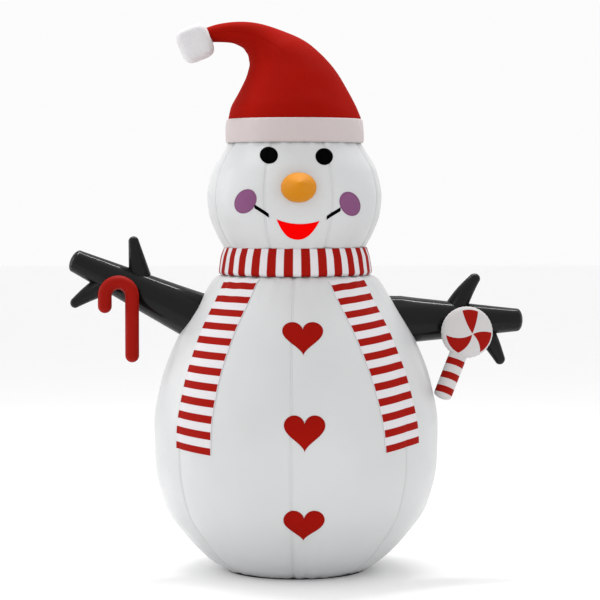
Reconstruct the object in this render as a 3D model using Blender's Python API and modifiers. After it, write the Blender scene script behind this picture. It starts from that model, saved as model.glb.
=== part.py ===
"""Inflatable yard snowman, built as an assembly of separate sewn and moulded pieces.

Metres, +Z up.  The origin is on the ground under the centre of the body, the
face looks along -Y, and the blower sits low in the back.  Azimuths are in
degrees around Z, from the front (-Y), positive towards +X.
"""
import math

import bmesh
import bpy
from mathutils import Matrix, Vector

# ---------------------------------------------------------------- driving dimensions
FABRIC = 0.002          # wall of an air-filled piece
TRIM = 0.0015           # thickness of a sewn-on trim
LIFT = 0.0035           # clearance of a trim over the fabric below it
GAP = 0.0006            # clearance between pieces that touch

# Outlines of the two envelopes, as (height, radius), read through a smooth curve
BODY_OUTLINE = [(0.004, 0.300), (0.035, 0.356), (0.140, 0.469), (0.297, 0.576), (0.480, 0.616),
                (0.640, 0.620), (0.821, 0.590), (1.031, 0.509), (1.205, 0.402), (1.285, 0.347),
                (1.312, 0.300), (1.335, 0.275)]
HEAD_OUTLINE = [(1.338, 0.272), (1.372, 0.284), (1.406, 0.304), (1.476, 0.343), (1.560, 0.373),
                (1.633, 0.380), (1.738, 0.360), (1.843, 0.301), (1.900, 0.262)]
BODY_GORES, BODY_FIRST_SEAM = 7, -4.5
HEAD_GORES, HEAD_FIRST_SEAM = 8, 22.5
CREASE = 0.012          # depth of a seam, as a share of the radius
HEAD_X = -0.006         # the head stands a little to one side

BASE_RADIUS, BASE_THICK = 0.302, 0.003

BRIM_TOP = 1.972
# The hat from the brim to the puff: (x, z) of its inner edge and of its outer edge, row by row
HAT_ROWS = [((-0.2926, 1.974), (0.2815, 1.974)), ((-0.2812, 2.021), (0.2620, 2.021)),
            ((-0.2511, 2.076), (0.2201, 2.098)), ((-0.2227, 2.134), (0.1703, 2.180)),
            ((-0.2052, 2.188), (0.1070, 2.252)), ((-0.2039, 2.225), (0.0306, 2.311)),
            ((-0.2162, 2.259), (-0.0786, 2.357)), ((-0.2402, 2.281), (-0.1659, 2.383)),
            ((-0.2795, 2.296), (-0.2445, 2.390)), ((-0.3275, 2.300), (-0.3275, 2.381)),
            ((-0.3712, 2.299), (-0.3930, 2.361)), ((-0.3769, 2.290), (-0.4135, 2.344))]
PUFF_SIZE, PUFF_TILT = 0.122, 34.0

ARM_ROOT_RADIUS, ARM_TIP_RADIUS, ARM_DOME = 0.097, 0.046, 0.018
ARM_RIGHT_ROOT, ARM_RIGHT_RISE, ARM_RIGHT_LENGTH = (0.459, 1.091), -0.2, 0.532
ARM_LEFT_ROOT, ARM_LEFT_RISE, ARM_LEFT_LENGTH = (-0.450, 1.115), 24.9, 0.584
# Twigs as (arm side, name, root x, root z, tip x, tip z, root radius, tip radius)
TWIGS = [(-1, "left_upper", -0.681, 1.283, -0.711, 1.456, 0.049, 0.023),
         (-1, "left_lower", -0.834, 1.250, -0.971, 1.152, 0.047, 0.022),
         (1, "right_upper", 0.701, 1.123, 0.783, 1.290, 0.050, 0.024),
         (1, "right_lower", 0.830, 1.053, 0.894, 0.892, 0.047, 0.023)]

CANE_RADIUS, CANE_BEND = 0.0300, 0.0585
CANE_X, CANE_BEND_Z, CANE_SHORT_Z, CANE_LONG_Z = -0.768, 1.197, 1.153, 0.941
DISC_X, DISC_Z, DISC_RADIUS, DISC_HALF = 0.739, 1.040, 0.112, 0.036
STICK_LEAN, STICK_LENGTH, STICK_RADIUS = 19.5, 0.205, 0.039

TAIL_WIDTH, TAIL_TOP = 0.215, 1.284
HEART_WIDTH, HEART_HEIGHT = 0.172, 0.152
HEART_HEIGHTS = {"top": 1.043, "middle": 0.657, "bottom": 0.263}
HEART_AZIMUTH = 0.7

FACE_ROLL = 1.3         # the face is turned a little clockwise, degrees
EYE_AZIMUTHS = {-1: -22.1, 1: 19.9}
NOSE_Z, NOSE_LENGTH, NOSE_WIDE, NOSE_HIGH, NOSE_RISE = 1.672, 0.140, 0.075, 0.065, 8.0

BLOWER_HEIGHT, BLOWER_TILT = 0.235, 25.0    # intake faces back and a little down
BLOWER_RADIUS, BLOWER_WALL, BLOWER_DEPTH = 0.0865, 0.0025, 0.090
FLANGE_RADIUS, FLANGE_THICK = 0.108, 0.003
SLEEVE_THICK = 0.0015

ZIP_LOW, ZIP_HIGH = 0.36, 0.66
ZIP_SEAM = 3            # the back seam that holds the zip, counted from the first
ZIP_TAPE_WIDTH, ZIP_CHAIN_WIDTH = 0.034, 0.007

LAMP_HEIGHTS = [0.50, 0.85, 1.17, 1.58]
LOOP_HEIGHTS = [0.66, 1.02, 1.48]
CABLE_RADIUS = 0.004

STAKE_AZIMUTHS = [-163, -125, 125, 163]
STAKE_LOOP = (0.046, 0.030, 0.018)          # length, width and height of a webbing loop
TETHER_AZIMUTHS = {"left": -150, "right": 150}
TETHER_Z, RING_WIRE, RING_WIDTH, RING_DROP = 1.10, 0.002, 0.034, 0.030

COLORS = {                                   # colour, roughness, metallic
    "white_fabric": ((0.86, 0.87, 0.88), 0.45, 0.0),
    "red_fabric": ((0.45, 0.02, 0.015), 0.6, 0.0),
    "black_fabric": ((0.015, 0.016, 0.018), 0.3, 0.0),
    "bright_red": ((0.8, 0.0, 0.0), 0.5, 0.0),
    "orange_fabric": ((0.72, 0.28, 0.02), 0.45, 0.0),
    "purple_fabric": ((0.24, 0.08, 0.20), 0.6, 0.0),
    "black_plastic": ((0.02, 0.02, 0.022), 0.4, 0.0),
    "grey_plastic": ((0.30, 0.31, 0.32), 0.45, 0.0),
    "clear_plastic": ((0.80, 0.82, 0.78), 0.2, 0.0),
    "steel": ((0.62, 0.62, 0.63), 0.3, 1.0),
    "webbing": ((0.05, 0.05, 0.055), 0.8, 0.0),
}


# ---------------------------------------------------------------- scene and object helpers
def clear_scene():
    for item in list(bpy.data.objects):
        bpy.data.objects.remove(item, do_unlink=True)


def new_collection(name):
    collection = bpy.data.collections.new(name)
    bpy.context.scene.collection.children.link(collection)
    return collection


def material(name):
    existing = bpy.data.materials.get(name)
    if existing:
        return existing
    color, roughness, metallic = COLORS[name]
    made = bpy.data.materials.new(name)
    made.use_nodes = True
    shader = made.node_tree.nodes["Principled BSDF"]
    shader.inputs["Base Color"].default_value = (*color, 1.0)
    shader.inputs["Roughness"].default_value = roughness
    shader.inputs["Metallic"].default_value = metallic
    return made


def add_object(name, mesh, finish, place=None):
    """Puts a mesh in the snowman's collection as the sub-part `name`."""
    made = bpy.data.objects.new(name, mesh)
    PARTS.objects.link(made)
    mesh.materials.clear()
    mesh.materials.append(material(finish))
    mesh.shade_smooth()
    mesh.set_sharp_from_angle(angle=math.radians(40))
    if place is not None:
        made.matrix_world = place
    return made


def add_cutter(name, mesh, place=None):
    made = bpy.data.objects.new(name, mesh)
    CUTTERS.objects.link(made)
    made.hide_render = True
    made.display_type = "WIRE"
    if place is not None:
        made.matrix_world = place
    return made


def solidify(item, thickness, offset=-1.0):
    wall = item.modifiers.new("wall", "SOLIDIFY")
    wall.thickness = thickness
    wall.offset = offset
    wall.use_even_offset = True
    return item


def boolean(item, cutter, operation="DIFFERENCE"):
    cut = item.modifiers.new(cutter.name, "BOOLEAN")
    cut.operation = operation
    cut.object = cutter
    return item


def screw(item, steps):
    """Turns an X-Z profile about Z into a closed round piece."""
    turn = item.modifiers.new("turn", "SCREW")
    turn.steps = steps
    turn.render_steps = steps
    turn.use_merge_vertices = True
    turn.merge_threshold = 0.0001
    return item


def mesh_from(name, fill):
    """Runs fill(bm) on an empty bmesh and returns the mesh."""
    bm = bmesh.new()
    fill(bm)
    mesh = bpy.data.meshes.new(name)
    bm.to_mesh(mesh)
    bm.free()
    return mesh


# ---------------------------------------------------------------- mesh builders
def loft(name, rings, wrap=True, tip=None):
    """Skins rows of points.  `wrap` joins each row's end to its start; `tip` closes the last row."""
    def fill(bm):
        rows = [[bm.verts.new(point) for point in ring] for ring in rings]
        count = len(rows[0])
        spans = count if wrap else count - 1
        for lower, upper in zip(rows, rows[1:]):
            for i in range(spans):
                j = (i + 1) % count
                bm.faces.new((lower[i], lower[j], upper[j], upper[i]))
        if tip is not None:
            end = bm.verts.new(tip)
            for i in range(spans):
                bm.faces.new((rows[-1][i], rows[-1][(i + 1) % count], end))
        bmesh.ops.recalc_face_normals(bm, faces=bm.faces)
    return mesh_from(name, fill)


def profile_mesh(name, points, closed=True):
    """An X-Z outline, as edges, for the Screw modifier."""
    def fill(bm):
        verts = [bm.verts.new((x, 0.0, z)) for x, z in points]
        for a, b in zip(verts, verts[1:]):
            bm.edges.new((a, b))
        if closed:
            bm.edges.new((verts[-1], verts[0]))
    return mesh_from(name, fill)


def turned(name, points, finish, steps, place=None, closed=True):
    return screw(add_object(name, profile_mesh(name, points, closed), finish, place), steps)


def box_mesh(name, size, centre=(0, 0, 0)):
    def fill(bm):
        bmesh.ops.create_cube(bm, size=1.0)
        bmesh.ops.scale(bm, vec=size, verts=bm.verts)
        bmesh.ops.translate(bm, vec=centre, verts=bm.verts)
    return mesh_from(name, fill)


def cylinder_mesh(name, radius, length, centre=(0, 0, 0), sides=32):
    def fill(bm):
        bmesh.ops.create_cone(bm, cap_ends=True, segments=sides, radius1=radius, radius2=radius, depth=length)
        bmesh.ops.translate(bm, vec=centre, verts=bm.verts)
    return mesh_from(name, fill)


def circle_points(centre, axis_a, axis_b, radius, count):
    turns = [2 * math.pi * i / count for i in range(count)]
    return [centre + axis_a * (radius * math.cos(t)) + axis_b * (radius * math.sin(t)) for t in turns]


def smooth_line(points, samples):
    """A Catmull-Rom curve through tuples of any length, end points included."""
    result = []
    last = len(points) - 1
    for step in range(samples):
        where = step * last / (samples - 1)
        i = min(int(where), last - 1)
        t = where - i
        before, start, end = points[max(i - 1, 0)], points[i], points[i + 1]
        after = points[min(i + 2, last)]
        result.append(tuple(
            0.5 * (2 * b + (c - a) * t + (2 * a - 5 * b + 4 * c - d) * t * t
                   + (3 * b - a - 3 * c + d) * t ** 3)
            for a, b, c, d in zip(before, start, end, after)))
    return result


def curve_mesh(name, points, radius, cyclic=False, capped=True):
    """A round wire or tube along `points`, as a welded mesh."""
    curve = bpy.data.curves.new(name, "CURVE")
    curve.dimensions = "3D"
    curve.bevel_depth = radius
    curve.bevel_resolution = 2
    curve.use_fill_caps = capped and not cyclic
    spline = curve.splines.new("POLY")
    spline.points.add(len(points) - 1)
    for target, point in zip(spline.points, points):
        target.co = (*point, 1.0)
    spline.use_cyclic_u = cyclic
    guide = bpy.data.objects.new(name + "_line", curve)
    CUTTERS.objects.link(guide)
    tube = bpy.data.meshes.new_from_object(guide.evaluated_get(bpy.context.evaluated_depsgraph_get()))
    bpy.data.objects.remove(guide, do_unlink=True)
    bm = bmesh.new()
    bm.from_mesh(tube)
    bmesh.ops.remove_doubles(bm, verts=bm.verts, dist=0.00001)
    bmesh.ops.recalc_face_normals(bm, faces=bm.faces)
    bm.to_mesh(tube)
    bm.free()
    return tube


# ---------------------------------------------------------------- the two envelopes
class Envelope:
    """A gored, air-filled surface of revolution."""

    def __init__(self, outline, gores, first_seam, centre_x):
        self.outline = outline
        self.gores = gores
        self.first_seam = first_seam
        self.centre_x = centre_x
        self.slopes = self.monotone_slopes()

    def monotone_slopes(self):
        """Slopes at the outline's points that let the curve through them rise and fall only where they do."""
        steps = [(r1 - r0) / (z1 - z0) for (z0, r0), (z1, r1) in zip(self.outline, self.outline[1:])]
        inner = [0.0 if a * b <= 0 else 2 * a * b / (a + b) for a, b in zip(steps, steps[1:])]
        return [steps[0]] + inner + [steps[-1]]

    def radius(self, z):
        z = min(max(z, self.outline[0][0]), self.outline[-1][0])
        i = 0
        while i < len(self.outline) - 2 and z > self.outline[i + 1][0]:
            i += 1
        (z0, r0), (z1, r1) = self.outline[i], self.outline[i + 1]
        span = z1 - z0
        t = (z - z0) / span
        return (r0 * (1 + 2 * t) * (1 - t) ** 2 + self.slopes[i] * span * t * (1 - t) ** 2
                + r1 * t * t * (3 - 2 * t) + self.slopes[i + 1] * span * t * t * (t - 1))

    def slope(self, z):
        step = 0.002
        return (self.radius(z + step) - self.radius(z - step)) / (2 * step)

    def crease(self, azimuth):
        """1 in the middle of a gore, less at its seams."""
        pitch = 360.0 / self.gores
        across = 2 * (((azimuth - self.first_seam) % pitch) / pitch) - 1
        return 1 - CREASE * abs(across) ** 4

    def point(self, azimuth, z, lift=0.0):
        """A point on the fabric, lifted along the outward normal."""
        angle = math.radians(azimuth)
        slope = self.slope(z)
        normal = math.hypot(1, slope)
        reach = self.radius(z) * self.crease(azimuth) + lift / normal
        return Vector((self.centre_x + reach * math.sin(angle), -reach * math.cos(angle),
                       z - lift * slope / normal))

    def contains(self, point):
        azimuth = math.degrees(math.atan2(point.x - self.centre_x, -point.y))
        reach = math.hypot(point.x - self.centre_x, point.y)
        return reach < self.radius(point.z) * self.crease(azimuth)

    def meet(self, outside, direction, reach=0.6):
        """Where a line from `outside` along `direction` reaches the fabric, less the clearance."""
        near, far = 0.0, reach
        steps = 60
        for step in range(1, steps + 1):
            far = reach * step / steps
            if self.contains(outside + direction * far):
                break
            near = far
        for _ in range(20):
            middle = (near + far) / 2
            if self.contains(outside + direction * middle):
                far = middle
            else:
                near = middle
        return outside + direction * (near - LIFT)

    def even_heights(self, low, high, count):
        """Heights between two limits, evenly spaced along the fabric."""
        fine = [low + (high - low) * i / 400 for i in range(401)]
        run = [0.0]
        for a, b in zip(fine, fine[1:]):
            run.append(run[-1] + math.hypot(b - a, self.radius(b) - self.radius(a)))
        result, i = [], 0
        for step in range(count):
            target = run[-1] * step / (count - 1)
            while i < 399 and run[i + 1] < target:
                i += 1
            result.append(fine[i] + (fine[i + 1] - fine[i]) * (target - run[i]) / (run[i + 1] - run[i]))
        return result

    def surface(self, name, rows, columns_per_gore):
        columns = self.gores * columns_per_gore
        azimuths = [self.first_seam + 360.0 * i / columns for i in range(columns)]
        heights = self.even_heights(self.outline[0][0], self.outline[-1][0], rows)
        return loft(name, [[self.point(azimuth, z) for azimuth in azimuths] for z in heights])

    def patch(self, name, outline, azimuth, z, rings, finish):
        """A flat sewn-on shape: `outline` in metres across and up, wrapped onto the fabric."""
        def wrapped(across, up):
            height = z + up / math.hypot(1, self.slope(z + up / 2))
            turn = math.degrees(across / self.radius(height))
            return self.point(azimuth + turn, height, LIFT)
        rows = [[wrapped(x * k, y * k) for x, y in outline] for k in [1 - i / rings for i in range(rings)]]
        mesh = loft(name, rows, tip=wrapped(0, 0))
        return solidify(add_object(name, mesh, finish), TRIM, offset=0.0)


BODY = Envelope(BODY_OUTLINE, BODY_GORES, BODY_FIRST_SEAM, 0.0)
HEAD = Envelope(HEAD_OUTLINE, HEAD_GORES, HEAD_FIRST_SEAM, HEAD_X)


def make_envelopes():
    body = solidify(add_object("body_envelope", BODY.surface("body_envelope", 15, 4), "white_fabric"), FABRIC)
    head = solidify(add_object("head_envelope", HEAD.surface("head_envelope", 8, 3), "white_fabric"), FABRIC)
    panel = cylinder_mesh("base_panel", BASE_RADIUS, BASE_THICK, (0, 0, BASE_THICK / 2), 28)
    add_object("base_panel", panel, "black_fabric")
    for side, root, rise in ((-1, ARM_LEFT_ROOT, ARM_LEFT_RISE), (1, ARM_RIGHT_ROOT, ARM_RIGHT_RISE)):
        axis = Vector((side * math.cos(math.radians(rise)), 0, math.sin(math.radians(rise))))
        air_hole = cylinder_mesh("arm_air_hole", 0.05, 0.16, sides=16)
        place = Matrix.Translation((root[0], 0, root[1])) @ axis.to_track_quat("Z", "Y").to_matrix().to_4x4()
        boolean(body, add_cutter("arm_air_hole_" + str(side), air_hole, place))
    nose_hole = cylinder_mesh("nose_air_hole", 0.03, 0.1, sides=12)
    place = Matrix.Translation((HEAD_X, -HEAD.radius(NOSE_Z), NOSE_Z)) @ Matrix.Rotation(math.pi / 2, 4, "X")
    boolean(head, add_cutter("nose_air_hole", nose_hole, place))
    blower_hole = cylinder_mesh("blower_hole", BLOWER_RADIUS + SLEEVE_THICK + 3 * GAP, 0.3, sides=24)
    boolean(body, add_cutter("blower_hole", blower_hole, blower_place()))


# ---------------------------------------------------------------- hat
def padded_band(name, low, high, inner, outer, bulge, finish, place, steps=28):
    """A band around a neck or a hat: a barrel outside, and a wall inside.

    `inner` and `outer` are (radius at the bottom, radius at the top).
    """
    height = high - low
    sides = [(outer[1] - 0.006, high), (outer[1] + bulge * 0.5, high - height * 0.12),
             ((outer[0] + outer[1]) / 2 + bulge, (low + high) / 2),
             (outer[0] + bulge * 0.5, low + height * 0.12), (outer[0] - 0.006, low)]
    walls = [(inner[0], low + 0.006), ((inner[0] + inner[1]) / 2, (low + high) / 2), (inner[1], high - 0.003)]
    return turned(name, sides + walls, finish, steps, place)


def make_hat():
    place = Matrix.Translation((HEAD_X, 0, 0))
    padded_band("hat_brim", 1.863, BRIM_TOP, (0.2925, 0.271), (0.2985, 0.2955), 0.004, "white_fabric", place)
    rings = []
    for (inner_x, inner_z), (outer_x, outer_z) in HAT_ROWS:
        inner, outer = Vector((inner_x, 0, inner_z)), Vector((outer_x, 0, outer_z))
        half = (outer - inner) / 2
        rings.append(circle_points(inner + half, half.normalized(), Vector((0, 1, 0)), half.length, 16))
    solidify(add_object("hat_crown", loft("hat_crown", rings), "red_fabric"), FABRIC)

    # The puff: a soft cube around the hat's tip, open towards the crown
    end_x, end_z = [(inner + outer) / 2 for inner, outer in zip(*HAT_ROWS[-1])]
    turn = Matrix.Rotation(math.radians(-PUFF_TILT), 4, "Y")
    reach = PUFF_SIZE / 2
    place = Matrix.Translation((end_x, 0, end_z)) @ turn @ Matrix.Translation((-reach - GAP, 0, 0))

    def fill(bm):
        bmesh.ops.create_cube(bm, size=PUFF_SIZE * 1.17)
        towards_hat = max(bm.faces, key=lambda face: face.normal.x)
        bmesh.ops.inset_individual(bm, faces=[towards_hat], thickness=PUFF_SIZE * 0.24)
        bmesh.ops.delete(bm, geom=[towards_hat], context="FACES_ONLY")
    puff = add_object("hat_pompom", mesh_from("hat_pompom", fill), "white_fabric", place)
    round_off = puff.modifiers.new("round", "SUBSURF")
    round_off.levels = 2
    round_off.render_levels = 2
    solidify(puff, FABRIC)


# ---------------------------------------------------------------- face
def ellipse(half_wide, half_high, tilt=0.0, count=14):
    turn = math.radians(tilt)
    points = []
    for i in range(count):
        t = 2 * math.pi * i / count
        x, y = half_wide * math.cos(t), half_high * math.sin(t)
        points.append((x * math.cos(turn) - y * math.sin(turn), x * math.sin(turn) + y * math.cos(turn)))
    return points


def face_place(azimuth, z):
    """A face feature's place after the face's small roll around the nose."""
    rise = math.radians(azimuth) * HEAD.radius(z) * math.sin(math.radians(FACE_ROLL))
    return azimuth, z - rise


def mouth_outline(half_wide=0.088, corner=0.046, upper=0.030, lower=-0.042, count=9):
    """A smile: a shallow arc above, a deep one below, meeting in two corners."""
    steps = [i / (count - 1) * 2 - 1 for i in range(count)]
    top = [(half_wide * s, upper + (corner - upper) * s * s) for s in steps]
    bottom = [(half_wide * s, corner + (lower - corner) * (1 - abs(s) ** 2.3))
              for s in reversed(steps[1:-1])]
    return top + bottom


def make_face():
    for side, name in ((-1, "left"), (1, "right")):
        eye_place = face_place(EYE_AZIMUTHS[side], 1.803)
        HEAD.patch("eye_" + name, ellipse(0.0395, 0.040), *eye_place, 2, "black_fabric")
        cheek = ellipse(0.060, 0.046, -side * 43.0)
        HEAD.patch("cheek_" + name, cheek, *face_place(side * 35.8, 1.606), 3, "purple_fabric")
        # The smile's end line: a narrow strip from beside the cheek down to the mouth
        line = [(28.0, 1.5810), (25.3, 1.5660), (22.3, 1.5540), (19.0, 1.5440)]
        half = 0.0052
        rows = []
        for azimuth, z in line:
            turn, height = face_place(side * azimuth, z)
            rows.append([HEAD.point(turn, height + half, LIFT), HEAD.point(turn, height - half, LIFT)])
        strip = add_object("smile_line_" + name, loft("smile_line_" + name, rows, wrap=False), "black_fabric")
        solidify(strip, TRIM, offset=0.0)
    HEAD.patch("mouth", mouth_outline(), *face_place(-0.5, 1.490), 3, "bright_red")
    make_nose()


def make_nose():
    rise = math.radians(NOSE_RISE)
    axis = Vector((0, -math.cos(rise), math.sin(rise)))
    up = Vector((0, math.sin(rise), math.cos(rise)))
    across = Vector((1, 0, 0))
    base = Vector((HEAD_X, -HEAD.radius(NOSE_Z), NOSE_Z))
    shares = [(0.30, 0.97), (0.52, 0.80), (0.72, 0.56), (0.88, 0.34), (0.97, 0.15)]
    rings = []
    turns = [2 * math.pi * i / 16 for i in range(16)]
    for along, width in [(0.30, 1.0)] + shares:
        rings.append([base + axis * (NOSE_LENGTH * along) + across * (NOSE_WIDE * width * math.cos(t))
                      + up * (NOSE_HIGH * width * math.sin(t)) for t in turns])
    rings[0] = [HEAD.meet(point, -axis) for point in rings[0]]
    mesh = loft("nose", rings, tip=base + axis * NOSE_LENGTH)
    solidify(add_object("nose", mesh, "orange_fabric"), FABRIC)


# ---------------------------------------------------------------- scarf and hearts
def make_scarf():
    place = Matrix.Translation((HEAD_X / 2, 0, 0))
    padded_band("scarf_collar", 1.306, 1.404, (0.3120, 0.3110), (0.3280, 0.3150), 0.005, "red_fabric", place)
    # Each tail hangs from under the collar and swings out towards its end; its hem tips with it
    tails = {"left": (-45.0, -47.8, 0.559, 0.0, -0.10), "right": (36.4, 44.9, 0.570, 0.10, 0.16)}
    for name, (top_azimuth, bottom_azimuth, hem, top_tip, hem_tip) in tails.items():
        heights = BODY.even_heights(hem, TAIL_TOP, 13)
        rows = []
        for i, z in enumerate(heights):
            share = i / (len(heights) - 1)
            middle = bottom_azimuth + (top_azimuth - bottom_azimuth) * share
            half_wide = TAIL_WIDTH / 2 * (1.03 - 0.10 * share)
            half = math.degrees(half_wide / BODY.radius(z))
            tip = (hem_tip + (top_tip - hem_tip) * share) * half_wide
            across = (-1, -0.67, -0.33, 0, 0.33, 0.67, 1)
            rows.append([BODY.point(middle + half * s, z + tip * s, LIFT + 0.0006) for s in across])
        mesh = loft("scarf_tail_" + name, rows, wrap=False)
        solidify(add_object("scarf_tail_" + name, mesh, "red_fabric"), TRIM, offset=0.0)


def heart_outline(count=20):
    """The usual heart curve, scaled to its width and height about its middle."""
    points = []
    for i in range(count):
        t = 2 * math.pi * i / count
        x = 16 * math.sin(t) ** 3
        y = 13 * math.cos(t) - 5 * math.cos(2 * t) - 2 * math.cos(3 * t) - math.cos(4 * t)
        points.append((x / 32 * HEART_WIDTH, (y + 2.5) / 29 * HEART_HEIGHT))
    return points


def make_hearts():
    for name, z in HEART_HEIGHTS.items():
        BODY.patch("heart_" + name, heart_outline(), HEART_AZIMUTH, z, 3, "red_fabric")


# ---------------------------------------------------------------- arms and what they carry
def tapered_tube(start, axis, length, root_radius, tip_radius, sides, dome, round_rows=3):
    """Rings of a tapered tube with a domed tip, and the tip's last point."""
    side = Vector((0, 1, 0)) if abs(axis.y) < 0.9 else Vector((1, 0, 0))
    across = axis.cross(side).normalized()
    other = axis.cross(across).normalized()
    straight = length - dome
    rings = [circle_points(start + axis * (straight * i / 2), across, other,
                           root_radius + (tip_radius - root_radius) * i / 2, sides) for i in range(3)]
    for i in range(1, round_rows):
        t = math.pi / 2 * i / round_rows
        middle = start + axis * (straight + dome * math.sin(t))
        rings.append(circle_points(middle, across, other, tip_radius * math.cos(t), sides))
    return rings, start + axis * length


def arm_axis(side):
    rise = math.radians(ARM_LEFT_RISE if side < 0 else ARM_RIGHT_RISE)
    return Vector((side * math.cos(rise), 0, math.sin(rise)))


def arm_start(side):
    x, z = ARM_LEFT_ROOT if side < 0 else ARM_RIGHT_ROOT
    return Vector((x, 0, z))


def arm_length(side):
    return ARM_LEFT_LENGTH if side < 0 else ARM_RIGHT_LENGTH


def arm_radius_at(side, point):
    along = (point - arm_start(side)).dot(arm_axis(side)) / arm_length(side)
    return ARM_ROOT_RADIUS + (ARM_TIP_RADIUS - ARM_ROOT_RADIUS) * along


def make_arms():
    for side, name in ((-1, "left"), (1, "right")):
        axis = arm_axis(side)
        rings, tip = tapered_tube(arm_start(side), axis, arm_length(side), ARM_ROOT_RADIUS, ARM_TIP_RADIUS,
                                  16, ARM_DOME)
        # The root ring follows the body, and starts from points outside it
        outer = [point + axis * 0.22 for point in rings[0]]
        rings[0] = [BODY.meet(point, -axis) for point in outer]
        solidify(add_object("arm_" + name, loft("arm_" + name, rings, tip=tip), "black_fabric"), FABRIC)


def arm_contains(side, point):
    start, axis = arm_start(side), arm_axis(side)
    along = (point - start).dot(axis)
    away = (point - start - axis * along).length
    return away < arm_radius_at(side, point) + LIFT


def make_twigs():
    for side, name, root_x, root_z, tip_x, tip_z, root_radius, tip_radius in TWIGS:
        start, tip = Vector((root_x, 0, root_z)), Vector((tip_x, 0, tip_z))
        axis = (tip - start).normalized()
        rings, end = tapered_tube(start, axis, (tip - start).length, root_radius, tip_radius, 10,
                                  tip_radius, 2)
        root = []
        for point in rings[0]:
            distance = 0.0
            while arm_contains(side, point + axis * distance):
                distance += 0.001
            root.append(point + axis * distance)
        node = "twig_" + name
        solidify(add_object(node, loft(node, [root] + rings[1:], tip=end), "black_fabric"), FABRIC)


def make_candy_cane():
    """A hooked tube sewn to the front of the left arm, with an air hole towards it."""
    arm_point = Vector((CANE_X, 0, CANE_BEND_Z + CANE_BEND))
    depth = -(arm_radius_at(-1, arm_point) + CANE_RADIUS + LIFT)
    bend = [(CANE_X + CANE_BEND * math.cos(t), depth, CANE_BEND_Z + CANE_BEND * math.sin(t))
            for t in [math.pi * i / 8 for i in range(9)]]
    long_x, short_x = CANE_X + CANE_BEND, CANE_X - CANE_BEND
    long_leg = [(long_x, depth, CANE_LONG_Z + (CANE_BEND_Z - CANE_LONG_Z) * i / 3) for i in range(3)]
    line = [Vector(point) for point in long_leg + bend + [(short_x, depth, CANE_SHORT_Z)]]
    sides = 8
    rings = []
    for i, point in enumerate(line):
        ahead = (line[min(i + 1, len(line) - 1)] - line[max(i - 1, 0)]).normalized()
        outward = Vector((0, 1, 0)).cross(ahead).normalized()
        rings.append(circle_points(point, outward, Vector((0, 1, 0)), CANE_RADIUS, sides))
    down = Vector((0, 0, -1))

    def round_end(ring, centre, reach):
        return [centre + (point - centre) * 0.72 + down * reach * 0.68 for point in ring]
    start_ring = round_end(rings[0], line[0], CANE_RADIUS)
    end_ring = round_end(rings[-1], line[-1], CANE_RADIUS)

    def fill(bm):
        rows = [[bm.verts.new(point) for point in ring] for ring in [start_ring] + rings + [end_ring]]
        for lower, upper in zip(rows, rows[1:]):
            for i in range(sides):
                j = (i + 1) % sides
                bm.faces.new((lower[i], lower[j], upper[j], upper[i]))
        for row, centre in ((rows[0], line[0]), (rows[-1], line[-1])):
            pole = bm.verts.new(centre + down * CANE_RADIUS)
            for i in range(sides):
                bm.faces.new((row[i], row[(i + 1) % sides], pole))
        bmesh.ops.recalc_face_normals(bm, faces=bm.faces)
    cane = solidify(add_object("candy_cane", mesh_from("candy_cane", fill), "red_fabric"), FABRIC)
    place = Matrix.Translation((CANE_X, depth + CANE_RADIUS, CANE_BEND_Z + CANE_BEND))
    hole = cylinder_mesh("cane_air_hole", 0.008, 0.02, sides=8)
    boolean(cane, add_cutter("cane_air_hole", hole, place @ Matrix.Rotation(math.pi / 2, 4, "X")))


def make_lollipop():
    """A puffy disc sewn to the front of the right arm, and the stick under it."""
    arm_point = Vector((DISC_X, 0, ARM_RIGHT_ROOT[1]))
    depth = -(arm_radius_at(1, arm_point) + DISC_HALF + LIFT)
    centre = Vector((DISC_X, depth, DISC_Z))
    # A pillow section from the front pole to the open air hole at the back
    count = 8
    section = []
    for i in range(count):
        t = math.pi / 2 - math.pi * 0.92 * i / (count - 1)
        flat = abs(math.sin(t)) ** 0.8 * (1 if t > 0 else -1)
        section.append((DISC_RADIUS * math.cos(t) ** 0.75 if math.cos(t) > 1e-6 else 0.0, DISC_HALF * flat))
    place = Matrix.Translation(centre) @ Matrix.Rotation(math.pi / 2, 4, "X")
    disc = turned("lollipop_disc", section, "red_fabric", 20, place, closed=False)
    solidify(disc, FABRIC)
    lean = math.radians(STICK_LEAN)
    axis = Vector((-math.sin(lean), 0, -math.cos(lean)))
    start = centre + axis * (DISC_RADIUS - 0.010)
    rings, tip = tapered_tube(start, axis, STICK_LENGTH, STICK_RADIUS, STICK_RADIUS, 14, STICK_RADIUS * 0.6)
    # The stick's root follows the disc's edge
    root = []
    for point in rings[0]:
        offset = point - centre
        depth_share = min(abs(offset.y) / DISC_HALF, 1.0)
        edge = DISC_RADIUS * (1 - depth_share ** 2.5) ** 0.375
        sideways = (offset - axis * offset.dot(axis))
        sideways.y = 0
        along = math.sqrt(max(edge ** 2 - sideways.length_squared, 0.0))
        root.append(point - axis * offset.dot(axis) + axis * (max(along, DISC_RADIUS * 0.80) + LIFT))
    stick = loft("lollipop_stick", [root] + rings[1:], tip=tip)
    solidify(add_object("lollipop_stick", stick, "red_fabric"), FABRIC)


# ---------------------------------------------------------------- blower
def blower_place():
    """The blower's own frame: +Z is the intake's outward direction, +Y points down the back."""
    lift = 0.010
    surface_y = BODY.radius(BLOWER_HEIGHT) + lift
    tilt = Matrix.Rotation(-math.radians(90 + BLOWER_TILT), 4, "X")
    return Matrix.Translation((0, surface_y, BLOWER_HEIGHT)) @ tilt


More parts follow.
